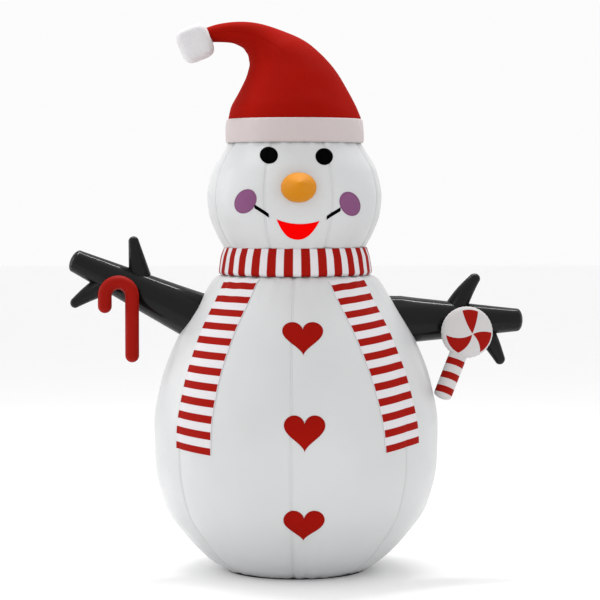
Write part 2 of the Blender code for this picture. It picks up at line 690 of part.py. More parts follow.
def slotted_disc(name, radius, thick, z, ring_edges, ribs, rib_width, finish):
    """A round guard: a disc with sector slots between rings and ribs."""
    disc = add_object(name, cylinder_mesh(name, radius, thick, (0, 0, z), 32), finish, blower_place())

    def fill(bm):
        for low, high in zip(ring_edges, ring_edges[1:]):
            inner, outer = low + rib_width / 2, high - rib_width / 2
            for k in range(ribs):
                centre = 2 * math.pi * k / ribs
                steps = 3
                corners = []
                for radius_at, order in ((inner, range(steps)), (outer, reversed(range(steps)))):
                    spread = math.pi / ribs - rib_width / 2 / radius_at
                    turns = [centre + spread * (2 * s / (steps - 1) - 1) for s in order]
                    corners += [(radius_at * math.cos(t), radius_at * math.sin(t)) for t in turns]
                lower = [bm.verts.new((x, y, z - thick)) for x, y in corners]
                upper = [bm.verts.new((x, y, z + thick)) for x, y in corners]
                bm.faces.new(list(reversed(lower)))
                bm.faces.new(upper)
                for i in range(len(corners)):
                    j = (i + 1) % len(corners)
                    bm.faces.new((lower[i], lower[j], upper[j], upper[i]))
        bmesh.ops.recalc_face_normals(bm, faces=bm.faces)
    boolean(disc, add_cutter(name + "_slots", mesh_from(name + "_slots", fill), blower_place()))


def make_blower():
    place = blower_place()
    outer, inner = BLOWER_RADIUS, BLOWER_RADIUS - BLOWER_WALL
    back = -BLOWER_DEPTH
    flange_low, flange_high = 0.010, 0.010 + FLANGE_THICK
    housing = turned("blower_housing",
                     [(FLANGE_RADIUS, flange_high), (FLANGE_RADIUS, flange_low), (outer, flange_low),
                      (outer, back), (inner, back), (inner, flange_high)], "black_plastic", 32, place)
    gland_y = (FLANGE_RADIUS + outer) / 2
    hole = cylinder_mesh("gland_hole", 0.0050, 0.02, (0, gland_y, flange_low), 12)
    boolean(housing, add_cutter("gland_hole", hole, place))
    gland = [(0.0085, 0.0140 + flange_low), (0.0085, flange_high + GAP), (0.0044, flange_high + GAP),
             (0.0044, flange_low - 0.004), (0.0030, flange_low - 0.004), (0.0030, flange_low + 0.0140)]
    turned("power_gland", gland, "black_plastic", 16, place @ Matrix.Translation((0, gland_y, 0)))
    sleeve = [(outer + GAP + SLEEVE_THICK, flange_low - GAP), (outer + GAP + SLEEVE_THICK, -0.045),
              (outer + GAP, -0.045), (outer + GAP, flange_low - GAP)]
    turned("port_sleeve", sleeve, "white_fabric", 32, place)
    fit = inner - 2 * GAP
    slotted_disc("inlet_grille", fit, 0.003, flange_high - 0.003, [0.020, 0.041, 0.062, 0.082],
                 6, 0.004, "black_plastic")
    slotted_disc("outlet_guard", fit, 0.003, back + 0.004, [0.020, 0.050, 0.081], 6, 0.005, "black_plastic")

    motor_radius, motor_low, motor_high = 0.026, -0.078, -0.036
    can = [(0.0, motor_high), (motor_radius - 0.003, motor_high), (motor_radius, motor_high - 0.003),
           (motor_radius, motor_low + 0.003), (motor_radius - 0.003, motor_low), (0.0, motor_low)]
    turned("motor", can, "steel", 24, place, closed=False)
    bracket_z, bracket_thick = -0.060, 0.004
    bracket = turned("motor_bracket", [(motor_radius + 0.005, bracket_z + bracket_thick),
                                       (motor_radius + 0.005, bracket_z), (motor_radius + GAP, bracket_z),
                                       (motor_radius + GAP, bracket_z + bracket_thick)],
                     "grey_plastic", 24, place)
    start = motor_radius + 0.003
    for k in range(3):
        spoke = box_mesh("spoke", (fit - start, 0.009, bracket_thick * 0.8),
                         ((fit + start) / 2, 0, bracket_z + bracket_thick / 2))
        turn = place @ Matrix.Rotation(2 * math.pi * k / 3, 4, "Z")
        boolean(bracket, add_cutter("spoke_" + str(k), spoke, turn), "UNION")

    shaft_low, shaft_high, shaft_radius = motor_high + GAP, -0.004, 0.003
    shaft = cylinder_mesh("impeller_shaft", shaft_radius, shaft_high - shaft_low,
                          (0, 0, (shaft_high + shaft_low) / 2), 12)
    add_object("impeller_shaft", shaft, "steel", place)
    hub_low, hub_high, hub_radius, blade_reach = -0.030, -0.006, 0.016, inner - 0.004
    bore = shaft_radius + GAP
    impeller = turned("impeller", [(hub_radius, hub_high), (hub_radius, hub_low), (bore, hub_low),
                                   (bore, hub_high)], "grey_plastic", 21, place)
    for k in range(7):
        blade = box_mesh("blade", (blade_reach - hub_radius + 0.003, 0.002, 0.020),
                         ((blade_reach + hub_radius - 0.003) / 2, 0, 0))
        turn = (place @ Matrix.Rotation(2 * math.pi * k / 7, 4, "Z")
                @ Matrix.Translation((0, 0, (hub_low + hub_high) / 2))
                @ Matrix.Rotation(math.radians(40), 4, "X"))
        boolean(impeller, add_cutter("blade_" + str(k), blade, turn), "UNION")


# ---------------------------------------------------------------- deflation zip
def circle_through(points):
    """Centre and radius of the circle through three (r, z) points."""
    (x1, y1), (x2, y2), (x3, y3) = points
    d = 2 * (x1 * (y2 - y3) + x2 * (y3 - y1) + x3 * (y1 - y2))
    s1, s2, s3 = x1 * x1 + y1 * y1, x2 * x2 + y2 * y2, x3 * x3 + y3 * y3
    cx = (s1 * (y2 - y3) + s2 * (y3 - y1) + s3 * (y1 - y2)) / d
    cy = (s1 * (x3 - x2) + s2 * (x1 - x3) + s3 * (x2 - x1)) / d
    return cx, cy, math.hypot(x1 - cx, y1 - cy)


def zip_frame():
    """The zip's frame: X points straight out through the seam, Z up, at the centre of the zip's arc."""
    azimuth = BODY_FIRST_SEAM + ZIP_SEAM * 360.0 / BODY_GORES
    heights = (ZIP_LOW, (ZIP_LOW + ZIP_HIGH) / 2, ZIP_HIGH)
    points = [(BODY.radius(z) * BODY.crease(azimuth), z) for z in heights]
    centre_r, centre_z, arc = circle_through(points)
    angle = math.radians(azimuth)
    out = Vector((math.sin(angle), -math.cos(angle), 0))
    turn = Matrix.Rotation(math.atan2(out.y, out.x), 4, "Z")
    place = Matrix.Translation(out * centre_r + Vector((0, 0, centre_z))) @ turn
    low, high = [math.atan2(z - centre_z, r - centre_r) for r, z in (points[0], points[-1])]
    return place, arc, low, high


def arc_strip(name, arc, low, high, half_width, base, thick, steps, finish, place):
    """A flat strip bent along the zip's arc between two angles."""
    rows = []
    for i in range(steps + 1):
        angle = low + (high - low) * i / steps
        out = Vector((math.cos(angle), 0, math.sin(angle)))
        side = Vector((0, half_width, 0))
        rows.append([out * (arc + base + thick) - side, out * (arc + base + thick) + side,
                     out * (arc + base) + side, out * (arc + base) - side])

    def fill(bm):
        verts = [[bm.verts.new(point) for point in row] for row in rows]
        for lower, upper in zip(verts, verts[1:]):
            for i in range(4):
                j = (i + 1) % 4
                bm.faces.new((lower[i], lower[j], upper[j], upper[i]))
        bm.faces.new(verts[0])
        bm.faces.new(list(reversed(verts[-1])))
        bmesh.ops.recalc_face_normals(bm, faces=bm.faces)
    return add_object(name, mesh_from(name, fill), finish, place)


def make_zip():
    place, arc, low, high = zip_frame()
    tape_base = LIFT + 0.001
    chain_base = tape_base + 0.001 + GAP
    arc_strip("zip_tape", arc, low, high, ZIP_TAPE_WIDTH / 2, tape_base, 0.001, 10, "webbing", place)
    margin = 0.010 / arc
    arc_strip("zip_chain", arc, low + margin, high - margin, ZIP_CHAIN_WIDTH / 2, chain_base, 0.0025, 10,
              "black_plastic", place)
    # The slider rests at the top, zip closed; its body rides just over the chain
    rest = high - margin - 0.014 / arc
    seat = arc + chain_base + 0.0025 + 2 * GAP
    at = place @ Matrix.Rotation(-rest, 4, "Y")
    slider = add_object("zip_slider", box_mesh("zip_slider", (0.004, 0.011, 0.022), (seat + 0.002, 0, 0)),
                        "steel", at)
    ear_x, pin_radius = seat + 0.0076, 0.0012
    for side in (-1, 1):
        ear = box_mesh("ear", (0.0070, 0.0018, 0.006), (seat + 0.0065, side * 0.0038, 0))
        boolean(slider, add_cutter("zip_ear_" + str(side), ear, at), "UNION")
    pin = cylinder_mesh("pin", pin_radius, 0.0076, sides=10)
    pin_place = at @ Matrix.Translation((ear_x, 0, 0)) @ Matrix.Rotation(math.pi / 2, 4, "X")
    boolean(slider, add_cutter("zip_pin", pin, pin_place), "UNION")
    # The pull hangs from the pin, clear of the chain
    eye = 0.0026
    pull_place = at @ Matrix.Translation((ear_x, 0, 0))
    pull = add_object("zip_pull", box_mesh("zip_pull", (0.0016, 0.0046, 0.034), (0.0002, 0, -0.0146)),
                      "steel", pull_place)
    collar = cylinder_mesh("eye", eye + 0.0002, 0.0046, sides=14)
    cross = Matrix.Rotation(math.pi / 2, 4, "X")
    boolean(pull, add_cutter("zip_eye", collar, pull_place @ cross), "UNION")
    bore = cylinder_mesh("eye_bore", pin_radius + GAP / 2, 0.02, sides=12)
    boolean(pull, add_cutter("zip_eye_bore", bore, pull_place @ cross))


# ---------------------------------------------------------------- lights inside
def inside_wall(z, inset):
    """A point on the middle of the back wall, `inset` inside it."""
    outline = BODY if z < 1.3365 else HEAD
    return Vector((0, outline.radius(z) - inset, z))


def make_lights():
    # The lead runs up the back wall, across the narrow neck, and into the head
    route = [(0.0, 0.43, 0.372), (0.0, 0.49, 0.44)]
    route += [tuple(inside_wall(z, 0.030)) for z in (0.56, 0.72, 0.88, 1.02, 1.14, 1.24)]
    route += [(0.0, 0.243, 1.31), (0.0, 0.243, 1.37)]
    route += [tuple(inside_wall(z, 0.034)) for z in (1.46, 1.56, 1.66)]
    line = smooth_line(route, 29)
    add_object("led_cable", curve_mesh("led_cable", line, CABLE_RADIUS), "black_plastic")

    def cable_at(z):
        near = min(range(1, len(line) - 1), key=lambda i: abs(line[i][2] - z))
        here = Vector(line[near])
        return here, (Vector(line[near + 1]) - Vector(line[near - 1])).normalized()
    for number, z in enumerate(LAMP_HEIGHTS, 1):
        # A lamp on the lead's inner side, pointing into the air space
        at, along = cable_at(z)
        inward = Vector((0, -1, 0))
        inward = (inward - along * inward.dot(along)).normalized()
        place = (Matrix.Translation(at + inward * (CABLE_RADIUS * 1.5 + GAP))
                 @ inward.to_track_quat("Z", "Y").to_matrix().to_4x4())
        section = [(0.0, 0.052), (0.010, 0.048), (0.0150, 0.038), (0.0150, 0.026), (0.0120, 0.018),
                   (0.0120, 0.0), (0.0, 0.0)]
        turned("led_lamp_" + str(number), section, "clear_plastic", 12, place, closed=False)
    for number, z in enumerate(LOOP_HEIGHTS, 1):
        at, along = cable_at(z)
        turn = along.to_track_quat("Z", "Y").to_matrix().to_4x4()
        hold, wide = CABLE_RADIUS * 1.15 + GAP, 0.008
        turned("led_loop_" + str(number),
               [(hold + 0.0012, wide), (hold + 0.0012, -wide), (hold, -wide), (hold, wide)], "webbing", 12,
               Matrix.Translation(at) @ turn)


# ---------------------------------------------------------------- tie-downs
def make_stake_loops():
    """Upright webbing loops around the base seam; a stake goes down through each."""
    length, width, height = STAKE_LOOP
    for number, azimuth in enumerate(STAKE_AZIMUTHS, 1):
        half = width / 2
        start = BODY.radius(0.001 + height) + LIFT
        bend = [(start + length - half + half * math.cos(t), half * math.sin(t))
                for t in [-math.pi / 2 + math.pi * i / 8 for i in range(9)]]
        path = [(start, half)] + [(start, -half)] + bend
        rings = [[Vector((x, y, z)) for x, y in path] for z in (0.001, 0.001 + height)]
        angle = math.radians(azimuth - 90)
        node = "stake_loop_" + str(number)
        loop = add_object(node, loft(node, rings), "webbing", Matrix.Rotation(angle, 4, "Z"))
        solidify(loop, TRIM)


def make_tethers():
    """A webbing tab high on each side of the back, and the D-ring that hangs from it."""
    for name, azimuth in TETHER_AZIMUTHS.items():
        foot = BODY.point(azimuth, TETHER_Z, LIFT)
        out = (BODY.point(azimuth, TETHER_Z, 0.1) - BODY.point(azimuth, TETHER_Z)).normalized()
        angle = math.radians(azimuth)
        along = Vector((math.cos(angle), math.sin(angle), 0))
        up = out.cross(along)
        frame = Matrix((out, along, up)).transposed().to_4x4()
        place = Matrix.Translation(foot) @ frame
        bar = RING_WIRE + 0.0022
        path = [(0.0, 0.052), (0.0, 0.026), (0.0, 0.006)]
        path += [(bar + bar * math.cos(t), bar * math.sin(t)) for t in
                 [math.pi + math.radians(290) * i / 8 for i in range(9)]]
        half = 0.011
        rings = [[Vector((x, side * half, z)) for x, z in path] for side in (-1, 1)]
        strap = loft("tether_tab_" + name, rings, wrap=False)
        tab = add_object("tether_tab_" + name, strap, "webbing", place)
        solidify(tab, 0.0012, offset=0.0)
        wide = RING_WIDTH / 2
        arc = [(0, wide * math.cos(t), -RING_DROP * 0.35 - (RING_DROP * 0.65) * math.sin(t))
               for t in [math.pi * i / 10 for i in range(11)]]
        line = [(0, -wide, 0), (0, 0, 0), (0, wide, 0)] + arc
        ring = curve_mesh("tether_ring_" + name, line, RING_WIRE, cyclic=True)
        add_object("tether_ring_" + name, ring, "steel", place @ Matrix.Translation((bar, 0, 0)))


clear_scene()
PARTS = new_collection("inflatable_snowman")
CUTTERS = new_collection("cutters")
make_envelopes()
make_hat()
make_face()
make_scarf()
make_hearts()
make_arms()
make_twigs()
make_candy_cane()
make_lollipop()
make_blower()
make_zip()
make_lights()
make_stake_loops()
make_tethers()
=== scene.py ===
"""The inflatable yard snowman's looks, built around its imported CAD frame."""
import math

import bmesh
import bpy
import numpy as np
from mathutils import Matrix, Vector


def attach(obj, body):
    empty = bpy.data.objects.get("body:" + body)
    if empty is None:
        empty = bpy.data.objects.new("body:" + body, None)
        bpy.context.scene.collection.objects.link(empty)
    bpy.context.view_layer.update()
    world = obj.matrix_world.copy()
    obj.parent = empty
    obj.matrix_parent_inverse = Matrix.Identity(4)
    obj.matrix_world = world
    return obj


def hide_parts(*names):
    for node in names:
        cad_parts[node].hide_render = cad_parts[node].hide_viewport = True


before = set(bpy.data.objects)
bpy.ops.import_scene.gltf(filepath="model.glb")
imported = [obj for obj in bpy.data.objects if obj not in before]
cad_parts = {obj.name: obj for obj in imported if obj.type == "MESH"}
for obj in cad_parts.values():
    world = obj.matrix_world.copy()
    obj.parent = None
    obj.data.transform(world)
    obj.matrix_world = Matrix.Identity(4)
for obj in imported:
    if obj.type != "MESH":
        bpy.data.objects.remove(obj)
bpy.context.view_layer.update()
ROOT = "snowman"

# ---------------------------------------------------------------- dimensions
# Metres and degrees, most of them the CAD source's
BODY_OUTLINE = [(0.004, 0.300), (0.035, 0.356), (0.140, 0.469), (0.297, 0.576), (0.480, 0.616),
                (0.640, 0.620), (0.821, 0.590), (1.031, 0.509), (1.205, 0.402), (1.285, 0.347),
                (1.312, 0.300), (1.335, 0.275)]
HEAD_OUTLINE = [(1.338, 0.272), (1.372, 0.284), (1.406, 0.304), (1.476, 0.343), (1.560, 0.373),
                (1.633, 0.380), (1.738, 0.360), (1.843, 0.301), (1.900, 0.262)]
BODY_GORES, BODY_FIRST_SEAM = 7, -4.5
HEAD_GORES, HEAD_FIRST_SEAM = 8, 22.5
CREASE = 0.012
HEAD_X = -0.006
BASE_RADIUS, BASE_THICK = 0.302, 0.003
BRIM_LOW, BRIM_TOP = 1.863, 1.967
HAT_ROWS = [((-0.2926, 1.974), (0.2815, 1.974)), ((-0.2812, 2.021), (0.2620, 2.021)),
            ((-0.2511, 2.076), (0.2201, 2.098)), ((-0.2227, 2.134), (0.1703, 2.180)),
            ((-0.2052, 2.188), (0.1070, 2.252)), ((-0.2039, 2.225), (0.0306, 2.311)),
            ((-0.2162, 2.259), (-0.0786, 2.357)), ((-0.2402, 2.281), (-0.1659, 2.383)),
            ((-0.2795, 2.296), (-0.2445, 2.390)), ((-0.3275, 2.300), (-0.3275, 2.381)),
            ((-0.3712, 2.299), (-0.3930, 2.361)), ((-0.3769, 2.290), (-0.4135, 2.344))]
PUFF_HALF, PUFF_TILT, PUFF_OFFSET = 0.0765, 22.0, (-0.048, 0, -0.005)
COLLAR_LOW, COLLAR_HIGH, COLLAR_RADIUS, COLLAR_STRIPES = 1.292, 1.412, 0.330, 28
COLLAR_TURN = math.radians(1.25) * COLLAR_RADIUS
ARM_ROOT_RADIUS, ARM_TIP_RADIUS, ARM_DOME = 0.104, 0.050, 0.026
ARMS = {"left": (-1, Vector((-0.450, 0, 1.115)), 24.9, 0.584),
        "right": (1, Vector((0.459, 0, 1.091)), -0.2, 0.537)}
# How the sewn twigs lean from the CAD's straight ones: root, tip and bow, in metres
TWIG_LEANS = {"left_upper": ((0, 0), (0, 0.002), 0.0), "left_lower": ((0.004, 0.0), (-0.009, 0.004), 0.004),
              "right_upper": ((-0.010, 0), (0.015, 0.000), 0.006),
              "right_lower": ((-0.010, 0), (0.013, 0.004), 0.003)}
TWIGS = [("left_upper", (-0.681, 1.283), (-0.711, 1.456), 0.049, 0.023),
         ("left_lower", (-0.834, 1.250), (-0.971, 1.152), 0.047, 0.022),
         ("right_upper", (0.701, 1.123), (0.783, 1.290), 0.050, 0.024),
         ("right_lower", (0.830, 1.053), (0.894, 0.892), 0.047, 0.023)]
CANE_RADIUS, CANE_BEND = 0.0300, 0.0585
CANE_X, CANE_BEND_Z, CANE_SHORT_Z, CANE_LONG_Z = -0.771, 1.203, 1.159, 0.946
DISC_X, DISC_Z, DISC_RADIUS, DISC_HALF = 0.737, 1.043, 0.112, 0.036
STICK_LEAN, STICK_LENGTH, STICK_RADIUS, STICK_INSIDE = 21.0, 0.218, 0.0395, 0.020
LIFT = 0.0035
TAIL_WIDTH, TAIL_TOP, TAIL_RUN = 0.215, 1.284, 0.765
# Each tail: azimuths of the top and the hem, height of the hem, tips of the stripes at the top and the hem
TAILS = {"left": (-45.0, -47.8, 0.559, 0.01, -0.07), "right": (36.0, 44.8, 0.574, 0.09, 0.115)}
HEART_WIDTH, HEART_HEIGHT, HEART_AZIMUTH = 0.172, 0.152, 0.7
HEART_HEIGHTS = {"top": 1.043, "middle": 0.657, "bottom": 0.263}
FACE_ROLL, MOUTH_TURN = 1.3, 2.5
NOSE_Z, NOSE_LENGTH, NOSE_WIDE, NOSE_HIGH, NOSE_RISE = 1.669, 0.140, 0.075, 0.0625, 8.0
BLOWER_HEIGHT, BLOWER_TILT, BLOWER_LIFT = 0.235, 25.0, 0.010
BLOWER_RADIUS, BLOWER_WALL, BLOWER_DEPTH = 0.0865, 0.0025, 0.090
FLANGE_RADIUS, FLANGE_THICK = 0.108, 0.003
STAKE_AZIMUTHS = [-163, -125, 125, 163]
STAKE_LOOP = (0.046, 0.030, 0.018)
TETHER_AZIMUTHS, TETHER_Z, TAB_HALF_WIDE = (("left", -150), ("right", 150)), 1.10, 0.011
ZIP_LOW, ZIP_HIGH, ZIP_SEAM, ZIP_TAPE_WIDTH, ZIP_CHAIN_WIDTH = 0.36, 0.66, 3, 0.034, 0.007
# Each red sector: its start and end as shares of a turn, and how much each edge bows per metre outwards
SWIRL_SECTORS = [(0.186, 0.344, 0.209, -0.265), (-0.117, 0.075, -0.785, -0.758),
                 (0.586, 0.733, -0.718, -0.805)]
# Face patches: half width and height, the cut shape's, azimuth and height
EYE_HALF, EYE_FLAT, EYE_AZIMUTHS, EYE_Z = (0.0378, 0.0356), (0.0395, 0.0400), (-22.1, 19.9), 1.803
CHEEK_HALF, CHEEK_FLAT = (0.0425, 0.0545), (0.060, 0.046)
CHEEK_TILT, CHEEK_AZIMUTH, CHEEK_Z = 32.0, 35.8, 1.606
MOUTH_AZIMUTH, MOUTH_Z = -0.5, 1.490
BOW_SWELL = 12.0    # how much wider a bowed twig gets in its middle, per metre of bow
CUFF_LENGTH, GUARD_GAP, SCREWS, SCREW_CIRCLE, BLADES, LAMINATIONS = 0.054, 0.0012, 6, 0.0925, 7, 8


# ---------------------------------------------------------------- mesh helpers
def smoothstep(low, high, x):
    t = np.clip((np.asarray(x, float) - low) / (high - low), 0, 1)
    return t * t * (3 - 2 * t)


def circle(count):
    """Angles spaced evenly over a whole turn."""
    return 2 * np.pi * np.arange(count) / count


def bell(x, width):
    """A smooth bump, 1 where `x` is 0."""
    return np.exp(-(x / width) ** 2)


def run_along(line):
    """The distance walked along a line of points."""
    steps = np.linalg.norm(np.diff(line, axis=0), axis=1)
    return np.concatenate([[0], np.cumsum(steps)])


def chart(u, v):
    """A map whose columns lie at `u` and rows at `v`."""
    return np.stack(np.meshgrid(u, v), -1)


def grid(name, points, wrap=True, uv=None, uv_next=None, tip=None, foot=None):
    """A mesh skinned over rows of points.

    `uv` is the map in metres, with one column more than the quads, or with `uv_next` the map at the left and
    at the right corners of each quad.  `tip` and `foot` close the last and the first row.
    """
    points = np.asarray(points, float)
    rows, columns = points.shape[:2]
    spans = columns if wrap else columns - 1
    i, j = np.meshgrid(np.arange(rows - 1), np.arange(spans), indexing="ij")
    k = (j + 1) % columns
    quads = np.stack([i * columns + j, i * columns + k, (i + 1) * columns + k, (i + 1) * columns + j], -1)
    faces = quads.reshape(-1, 4).tolist()
    verts = points.reshape(-1, 3).tolist()
    for end, row in ((tip, rows - 1), (foot, 0)):
        if end is not None:
            verts.append(list(end))
            faces += [[row * columns + a, row * columns + (a + 1) % columns, len(verts) - 1]
                      for a in range(spans)]
    mesh = bpy.data.meshes.new(name)
    mesh.from_pydata(verts, [], faces)
    if uv is None:
        around = np.zeros((rows, columns + 1))
        closed = np.concatenate([points, points[:, :1]], 1)
        around[:, 1:] = np.cumsum(np.linalg.norm(np.diff(closed, axis=1), axis=2), 1)
        along = np.zeros((rows, columns + 1))
        along[1:] = np.cumsum(np.linalg.norm(np.diff(closed, axis=0), axis=2), 0)
        uv = np.stack([around, along], -1)[:, :spans + 1]
    if uv_next is None:
        uv, uv_next = uv[:, :-1], uv[:, 1:]
    layer = mesh.uv_layers.new(name="metres")
    corners = np.stack([uv[:-1], uv_next[:-1], uv_next[1:], uv[1:]], 2).reshape(-1, 2)
    values = np.zeros((len(mesh.loops), 2))
    values[:len(corners)] = corners
    at = len(corners)
    for end, row in ((tip, rows - 1), (foot, 0)):
        if end is not None:
            fan = np.stack([uv[row], uv_next[row], (uv[row] + uv_next[row]) / 2], 1).reshape(-1, 2)
            values[at:at + len(fan)] = fan
            at += len(fan)
    layer.data.foreach_set("uv", values.astype(np.float32).ravel())
    return mesh


def turn_outward(mesh):
    bm = bmesh.new()
    bm.from_mesh(mesh)
    bmesh.ops.recalc_face_normals(bm, faces=bm.faces)
    bm.to_mesh(mesh)
    bm.free()


def piece(name, mesh, finish, stands_for=(), place=None, body=ROOT, sharp=None):
    """Puts a mesh in the scene as a piece that rides on a CAD body and stands for CAD nodes."""
    made = bpy.data.objects.new(name, mesh)
    bpy.context.scene.collection.objects.link(made)
    turn_outward(mesh)
    mesh.materials.append(finish)
    mesh.shade_smooth()
    if sharp is not None:
        mesh.set_sharp_from_angle(angle=math.radians(sharp))
    if place is not None:
        made.matrix_world = place
    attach(made, body)
    if stands_for:
        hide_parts(*([stands_for] if isinstance(stands_for, str) else stands_for))
    return made


def solidify(item, thickness, offset=-1.0):
    wall = item.modifiers.new("wall", "SOLIDIFY")
    wall.thickness = thickness
    wall.offset = offset


def catmull(points, count):
    """A Catmull-Rom curve through rows of numbers, sampled evenly in its parameter."""
    points = np.asarray(points, float)
    last = len(points) - 1
    where = np.linspace(0, last, count)
    i = np.minimum(where.astype(int), last - 1)
    t = (where - i)[:, None]
    before, start = points[np.maximum(i - 1, 0)], points[i]
    end, after = points[i + 1], points[np.minimum(i + 2, last)]
    return 0.5 * (2 * start + (end - before) * t + (2 * before - 5 * start + 4 * end - after) * t * t
                  + (3 * start - before - 3 * end + after) * t ** 3)


def sweep(line, radius, sides, up):
    """Rings of a round tube along a line of points, turned so that ring zero faces `up`."""
    line = np.asarray(line, float)
    ahead = np.gradient(line, axis=0)
    ahead /= np.linalg.norm(ahead, axis=1)[:, None]
    side = np.cross(ahead, np.asarray(up, float))
    side /= np.linalg.norm(side, axis=1)[:, None]
    over = np.cross(side, ahead)
    turns = circle(sides)[None, :, None]
    return line[:, None] + radius * (np.cos(turns) * over[:, None] + np.sin(turns) * side[:, None])


def turned(name, profile, steps=96):
    """A profile of (radius, height) turned about Z; points on the axis close it."""
    turns = circle(steps)
    profile = np.asarray(profile, float)
    rows = np.stack([profile[:, :1] * np.cos(turns), profile[:, :1] * np.sin(turns),
                     np.broadcast_to(profile[:, 1:], (len(profile), steps))], -1)
    return grid(name, rows)


def merged(name, meshes):
    """Several meshes made into one, with their maps."""
    bm = bmesh.new()
    for mesh in meshes:
        bm.from_mesh(mesh)
    made = bpy.data.meshes.new(name)
    bm.to_mesh(made)
    bm.free()
    return made


def moved(mesh, place):
    mesh.transform(place)
    return mesh


# ---------------------------------------------------------------- materials
class Finish:
    """A Principled material built from procedural nodes."""

    def __init__(self, name, roughness=0.5, **constants):
        self.made = bpy.data.materials.new(name)
        self.made.use_nodes = True
        self.tree = self.made.node_tree
        self.shader = self.tree.nodes["Principled BSDF"]
        self.shader.inputs["Roughness"].default_value = roughness
        for socket, value in constants.items():
            self.shader.inputs[socket.replace("_", " ")].default_value = value
        self.here = self.add("TexCoord").outputs["Object"]
        split = self.add("SeparateXYZ", {0: self.add("UVMap", uv_map="metres").outputs[0]})
        self.u, self.v = split.outputs[:2]
        self.bumps = []

    def add(self, kind, feeds=None, **settings):
        node = self.tree.nodes.new("ShaderNode" + kind)
        for key, value in settings.items():
            setattr(node, key, value)
        for key, value in (feeds or {}).items():
            if isinstance(value, bpy.types.NodeSocket):
                self.tree.links.new(value, node.inputs[key])
            else:
                node.inputs[key].default_value = value
        return node

    def math(self, operation, *values):
        return self.add("Math", dict(enumerate(values)), operation=operation).outputs[0]

    def times(self, a, b):
        return self.math("MULTIPLY", a, b)

    def plus(self, a, b):
        return self.math("ADD", a, b)

    def minus(self, a, b):
        return self.math("SUBTRACT", a, b)

    def over(self, a, b):
        return self.math("DIVIDE", a, b)

    def mix(self, factor, a, b):
        return self.add("Mix", {0: factor, 6: a, 7: b}, data_type="RGBA").outputs[2]

    def span(self, value, low, high, to_low=0.0, to_high=1.0):
        feeds = {0: value, 1: low, 2: high, 3: to_low, 4: to_high}
        return self.add("MapRange", feeds, interpolation_type="SMOOTHSTEP").outputs[0]

    def noise(self, scale, detail=2.0, stretch=None):
        where = self.add("Mapping", {0: self.here, 3: stretch}).outputs[0] if stretch else self.here
        feeds = {"Vector": where, "Scale": scale, "Detail": detail}
        return self.add("TexNoise", feeds).outputs["Fac"]

    def weave(self, pitch):
        """Crossing threads, from 0 in the gaps to 1 on the threads."""
        turn = 2 * math.pi / pitch
        warp = self.math("SINE", self.times(self.u, turn))
        weft = self.math("SINE", self.times(self.v, turn))
        return self.math("MULTIPLY_ADD", self.times(warp, weft), 0.5, 0.5)

    def lines(self, value, pitch, width):
        """1 on thin lines repeated every `pitch` along `value`."""
        share = self.math("ABSOLUTE", self.minus(self.math("FRACT", self.over(value, pitch)), 0.5))
        return self.span(share, width / pitch / 2, width / pitch, 1.0, 0.0)

    def bump(self, height, distance):
        self.bumps.append((height, distance))

    def color(self, value):
        self.tree.links.new(value, self.shader.inputs["Base Color"])

    def roughness(self, value):
        self.tree.links.new(value, self.shader.inputs["Roughness"])

    def done(self):
        below = {}
        for height, distance in self.bumps:
            made = self.add("Bump", {"Height": height, "Distance": distance, "Strength": 1.0, **below})
            below = {"Normal": made.outputs[0]}
        if below:
            self.tree.links.new(below["Normal"], self.shader.inputs["Normal"])
        return self.made


def shade(color, k):
    return (*[min(c * k, 1.0) for c in color], 1.0)


def fabric(name, color, roughness, sheen=0.0, pitch=0.0016, weave=0.00012, creases=0.0006, plush=0.0,
           stitched=None, pattern=None, coat=0.0, ripstop=False, crease_scale=14.0, stretch=(1.0, 1.0, 0.45),
           vary=0.05, shine=0.15):
    """Woven polyester.

    `pattern` lays a second colour over the first; `stitched` is a distance from the map's seam.
    """
    f = Finish(name, roughness, Sheen_Weight=sheen, Sheen_Roughness=0.4, Coat_Weight=coat,
               Coat_Roughness=0.12, Specular_IOR_Level=shine)
    broad = f.noise(3.0, 3.0)
    threads = f.weave(pitch)
    base = f.mix(f.span(broad, 0.3, 0.7), shade(color, 1 - vary), shade(color, 1 + vary))
    # Painted shade in the weave: the colour is darkened along the thread map, up to 0.12 of the way to 0.72
    # of it
    base = f.mix(f.times(threads, 0.12), base, shade(color, 0.72))
    if pattern is not None:
        base = pattern(f, base)
    if ripstop:
        ribs = f.math("MAXIMUM", f.lines(f.u, 0.0095, 0.0009), f.lines(f.v, 0.0095, 0.0009))
        f.bump(ribs, 0.00008)
    if stitched is not None:
        off = f.math("ABSOLUTE", f.minus(f.math("ABSOLUTE", f.u), stitched))
        dash = f.times(f.span(off, 0.0005, 0.0011, 1.0, 0.0), f.lines(f.v, 0.0052, 0.0036))
        base = f.mix(f.times(dash, 0.2), base, shade(color, 0.45))
        f.bump(dash, 0.0004)
    f.color(base)
    f.roughness(f.span(f.noise(9.0, 3.0), 0.3, 0.7, roughness - 0.06, roughness + 0.07))
    f.bump(threads, weave)
    if creases:
        f.bump(f.noise(crease_scale, 3.0, stretch=stretch), creases * 2)
    if plush:
        f.bump(f.noise(420.0, 4.0), plush)
    return f.done()


def moulded(name, color, roughness, metallic=0.0, grain=0.00012, brushed=None):
    """Moulded plastic or metal with a fine grain and worn highlights."""
    f = Finish(name, roughness, Metallic=metallic)
    broad = f.noise(24.0, 3.0)
    f.color(f.mix(f.span(broad, 0.35, 0.65), shade(color, 0.88), shade(color, 1.1)))
    fine = f.noise(700.0, 2.0, stretch=brushed) if brushed else f.noise(900.0, 2.0)
    f.roughness(f.span(f.noise(60.0, 3.0), 0.3, 0.7, roughness - 0.08, roughness + 0.1))
    f.bump(fine, grain)
    return f.done()


